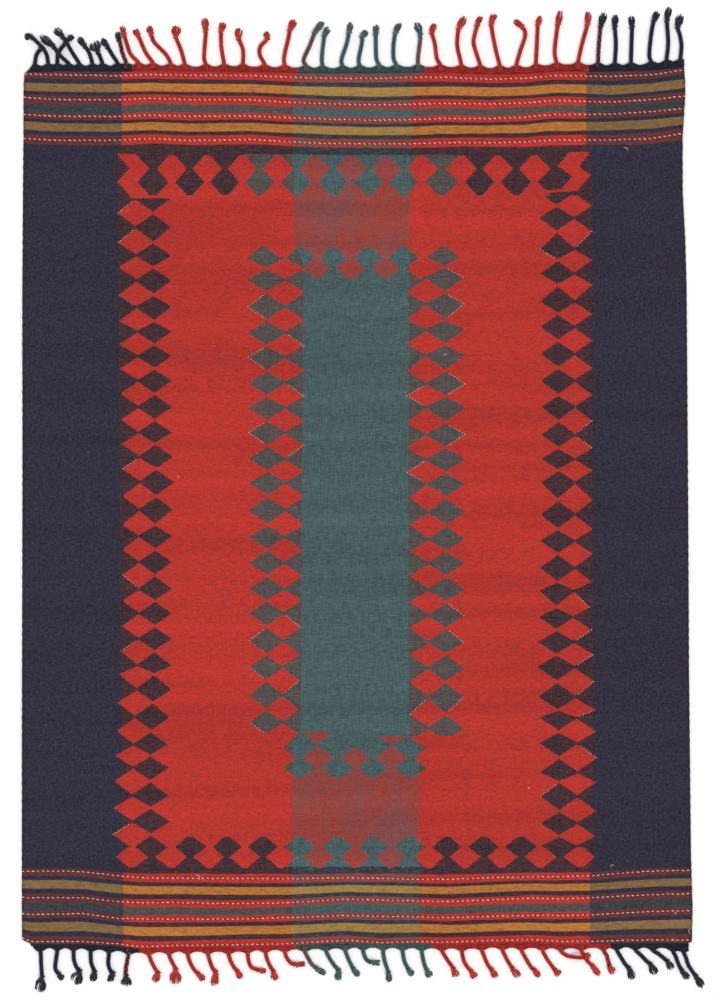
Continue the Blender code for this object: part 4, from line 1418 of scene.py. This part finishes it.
def tuft_ends(braid, path, knot_at, chance):
    """The loose ends of one tuft, as lines of (point, thickness)."""
    ends = []
    past = path.lengths[-1] - knot_at
    for _ in range(24 + round(braid.tuft * 2.2)):
        lean = chance.uniform(-1.0, 1.0)
        length = past * chance.uniform(0.72, 1.04) * (1 - 0.22 * lean * lean)
        start_height = chance.uniform(1.6, 4.4)
        wave = chance.uniform(0.0, math.tau)
        line = []
        for number in range(6):
            share = number / 5
            distance = min(knot_at + length * share, path.lengths[-1])
            way = path.way(knot_at + past * 0.6)
            side = Vector((way.y, -way.x))
            spread = min(share * 1.9, 1.0)
            sideways = lean * (2.2 + (braid.tuft - 1.4) * spread)
            sideways += 0.5 * math.sin(wave + share * 5)
            height = 0.6 + (start_height - 0.6) * (1 - share) ** 1.3
            spot = path.at(distance) + side * sideways
            line.append((place(*spot, height), 1.0 - 0.35 * share))
        ends.append(line)
    return ends


# %% [markdown]
# The heading of one block is a flat plate, cut to the block's outline and rounded over, which
# carries four rows of slanted grains, leaning one way and then the other. That is how a plait laid
# flat looks from above. The plate is in the dye's darker copy, painted shade that shows in the gaps
# between the grains. All that belongs to a block is joined into one piece, which stands for the
# solid of the same name.

# %% Plait a block of the heading
GRAIN_PITCH = 3.7
HEADING_ROWS = 4
CORNER_REACH = 11.0
plait_grain = grain("plait_grain", 4.2, 2.0, 2.6)


def rim_at(lines, rim, roots, across, outwards):
    """The heading's outer edge: it swells at each root and runs down to the cloth's corner."""
    nearest = min(abs(across - root) for root in roots)
    edge = between(rim, across) + outwards * 5.0 * smooth_step(1 - nearest / 15)
    past = max(rim[0][0] - across, across - rim[-1][0], 0.0)
    share = smooth_step(past / CORNER_REACH) * 0.8
    return edge + (between(lines, across, CLOTH_END) - edge) * share


def end_of_cloth(lines, across):
    return between(lines, across, CLOTH_END)


def heading_plate(name, lines, rim, roots, west, east, outwards, material):
    """A rounded plate between the cloth's end and the heading's outer edge."""
    count = math.ceil((east - west) / 4)
    inner = [west + (east - west) * number / count for number in range(count + 1)]
    outline = [(x, end_of_cloth(lines, x) - outwards * 0.2) for x in inner]
    for x in reversed(inner):
        outline.append((x, rim_at(lines, rim, roots, x, outwards) - outwards * 0.4))
    mesh = bpy.data.meshes.new(name)
    mesh.from_pydata([place(x, y, 0.2) for x, y in outline], [], [list(range(len(outline)))])
    plate = bpy.data.objects.new(name, mesh)
    bpy.context.scene.collection.objects.link(plate)
    deselect()
    plate.select_set(True)
    bpy.context.view_layer.objects.active = plate
    bpy.ops.object.mode_set(mode="EDIT")
    bpy.ops.mesh.select_all(action="SELECT")
    bpy.ops.mesh.extrude_region_move(TRANSFORM_OT_translate={"value": (0, 0, 2.6 * MM)})
    bpy.ops.mesh.select_all(action="SELECT")
    bpy.ops.mesh.normals_make_consistent(inside=False)
    bpy.ops.object.mode_set(mode="OBJECT")
    rounding = plate.modifiers.new("rounding", "BEVEL")
    rounding.width = 0.7 * MM
    rounding.segments = 2
    bpy.ops.object.modifier_apply(modifier="rounding")
    plate.data.materials.append(material)
    return plate


def heading_stands(lines, rim, roots, west, east, outwards, chance):
    """Stands for the slanted grains on one block."""
    stands = []
    count = int((east - west) / GRAIN_PITCH)
    for row in range(HEADING_ROWS):
        for number in range(count):
            x = west + (east - west) * (number + 0.5 + 0.3 * (row % 2)) / count
            inner = end_of_cloth(lines, x) + outwards * 1.2
            outer = rim_at(lines, rim, roots, x, outwards) - outwards * 1.2
            y = inner + (outer - inner) * row / (HEADING_ROWS - 1)
            turn = math.radians(34 if row % 2 else -34) + chance.uniform(-0.2, 0.2)
            stands.append(stand_at(place(x, y, 2.9), turn, chance.uniform(0.88, 1.1)))
    return stands


# %% Make both fringes
def make_fringe(end, lines, rim, braids, blocks, outwards):
    for title, dye, west, east in blocks:
        chance = random.Random(f"{end} {title}")
        mine = [Braid(*row) for row in braids if west < row[0] < east]
        roots = [braid.root for braid in mine]
        west = max(west, rim[0][0] - CORNER_REACH) + 0.2
        east = min(east, rim[-1][0] + 2.0) - 0.2
        strands = {dye: []}
        shade_cores = []
        rings = []
        tufts = []
        for braid in mine:
            path, knot_at = braid_path(braid, rim, outwards)
            second = SECOND_DYES.get((end, braid.root), dye)
            turn = chance.uniform(0.0, math.tau)
            for number, strand in enumerate(strands_of(braid, path, knot_at, turn)):
                strands.setdefault(second if number == 1 else dye, []).append(strand)
            shade_cores.append(shade_core_of(braid, path, knot_at))
            rings.extend(knot_rings(path, knot_at, 0.0))
            tufts.extend(tuft_ends(braid, path, knot_at, chance))
        yarn = YARNS[dye]
        # The plate and the cores take the darker copy of the dye: painted shade that shows between the
        # grains and the strands.
        painted_shade = YARNS[f"{dye}_hollow"]
        parts = [heading_plate("plate", lines, rim, roots, west, east, outwards, painted_shade)]
        parts.append(wind_yarn("shade_cores", shade_cores, SHADE_CORE_RADIUS, painted_shade))
        stands = heading_stands(lines, rim, roots, west, east, outwards, chance)
        parts.append(lay_copies("plait", plait_grain, stands, yarn))
        for colour, lines_of_yarn in strands.items():
            parts.append(wind_yarn("strands", lines_of_yarn, STRAND_RADIUS, YARNS[colour]))
        parts.append(wind_yarn("knots", rings, KNOT_RADIUS, yarn, ring=True))
        parts.append(wind_yarn("tufts", tufts, 0.62, yarn, sides=0))
        fringe = join(f"{end}_fringe_{title}", parts)
        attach(fringe, "root")
        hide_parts(f"{end}_heading_{title}")
        triangles = sum(len(face.vertices) - 2 for face in fringe.data.polygons)
        print(fringe.name, len(mine), "braids,", triangles, "triangles")


make_fringe("north", NORTH_LINES, NORTH_RIM, NORTH_BRAIDS, NORTH_BLOCKS, 1)
make_fringe("south", SOUTH_LINES, SOUTH_RIM, SOUTH_BRAIDS, SOUTH_BLOCKS, -1)
for pattern in (stitch, plait_grain, pale_stitch):
    bpy.data.objects.remove(pattern, do_unlink=True)
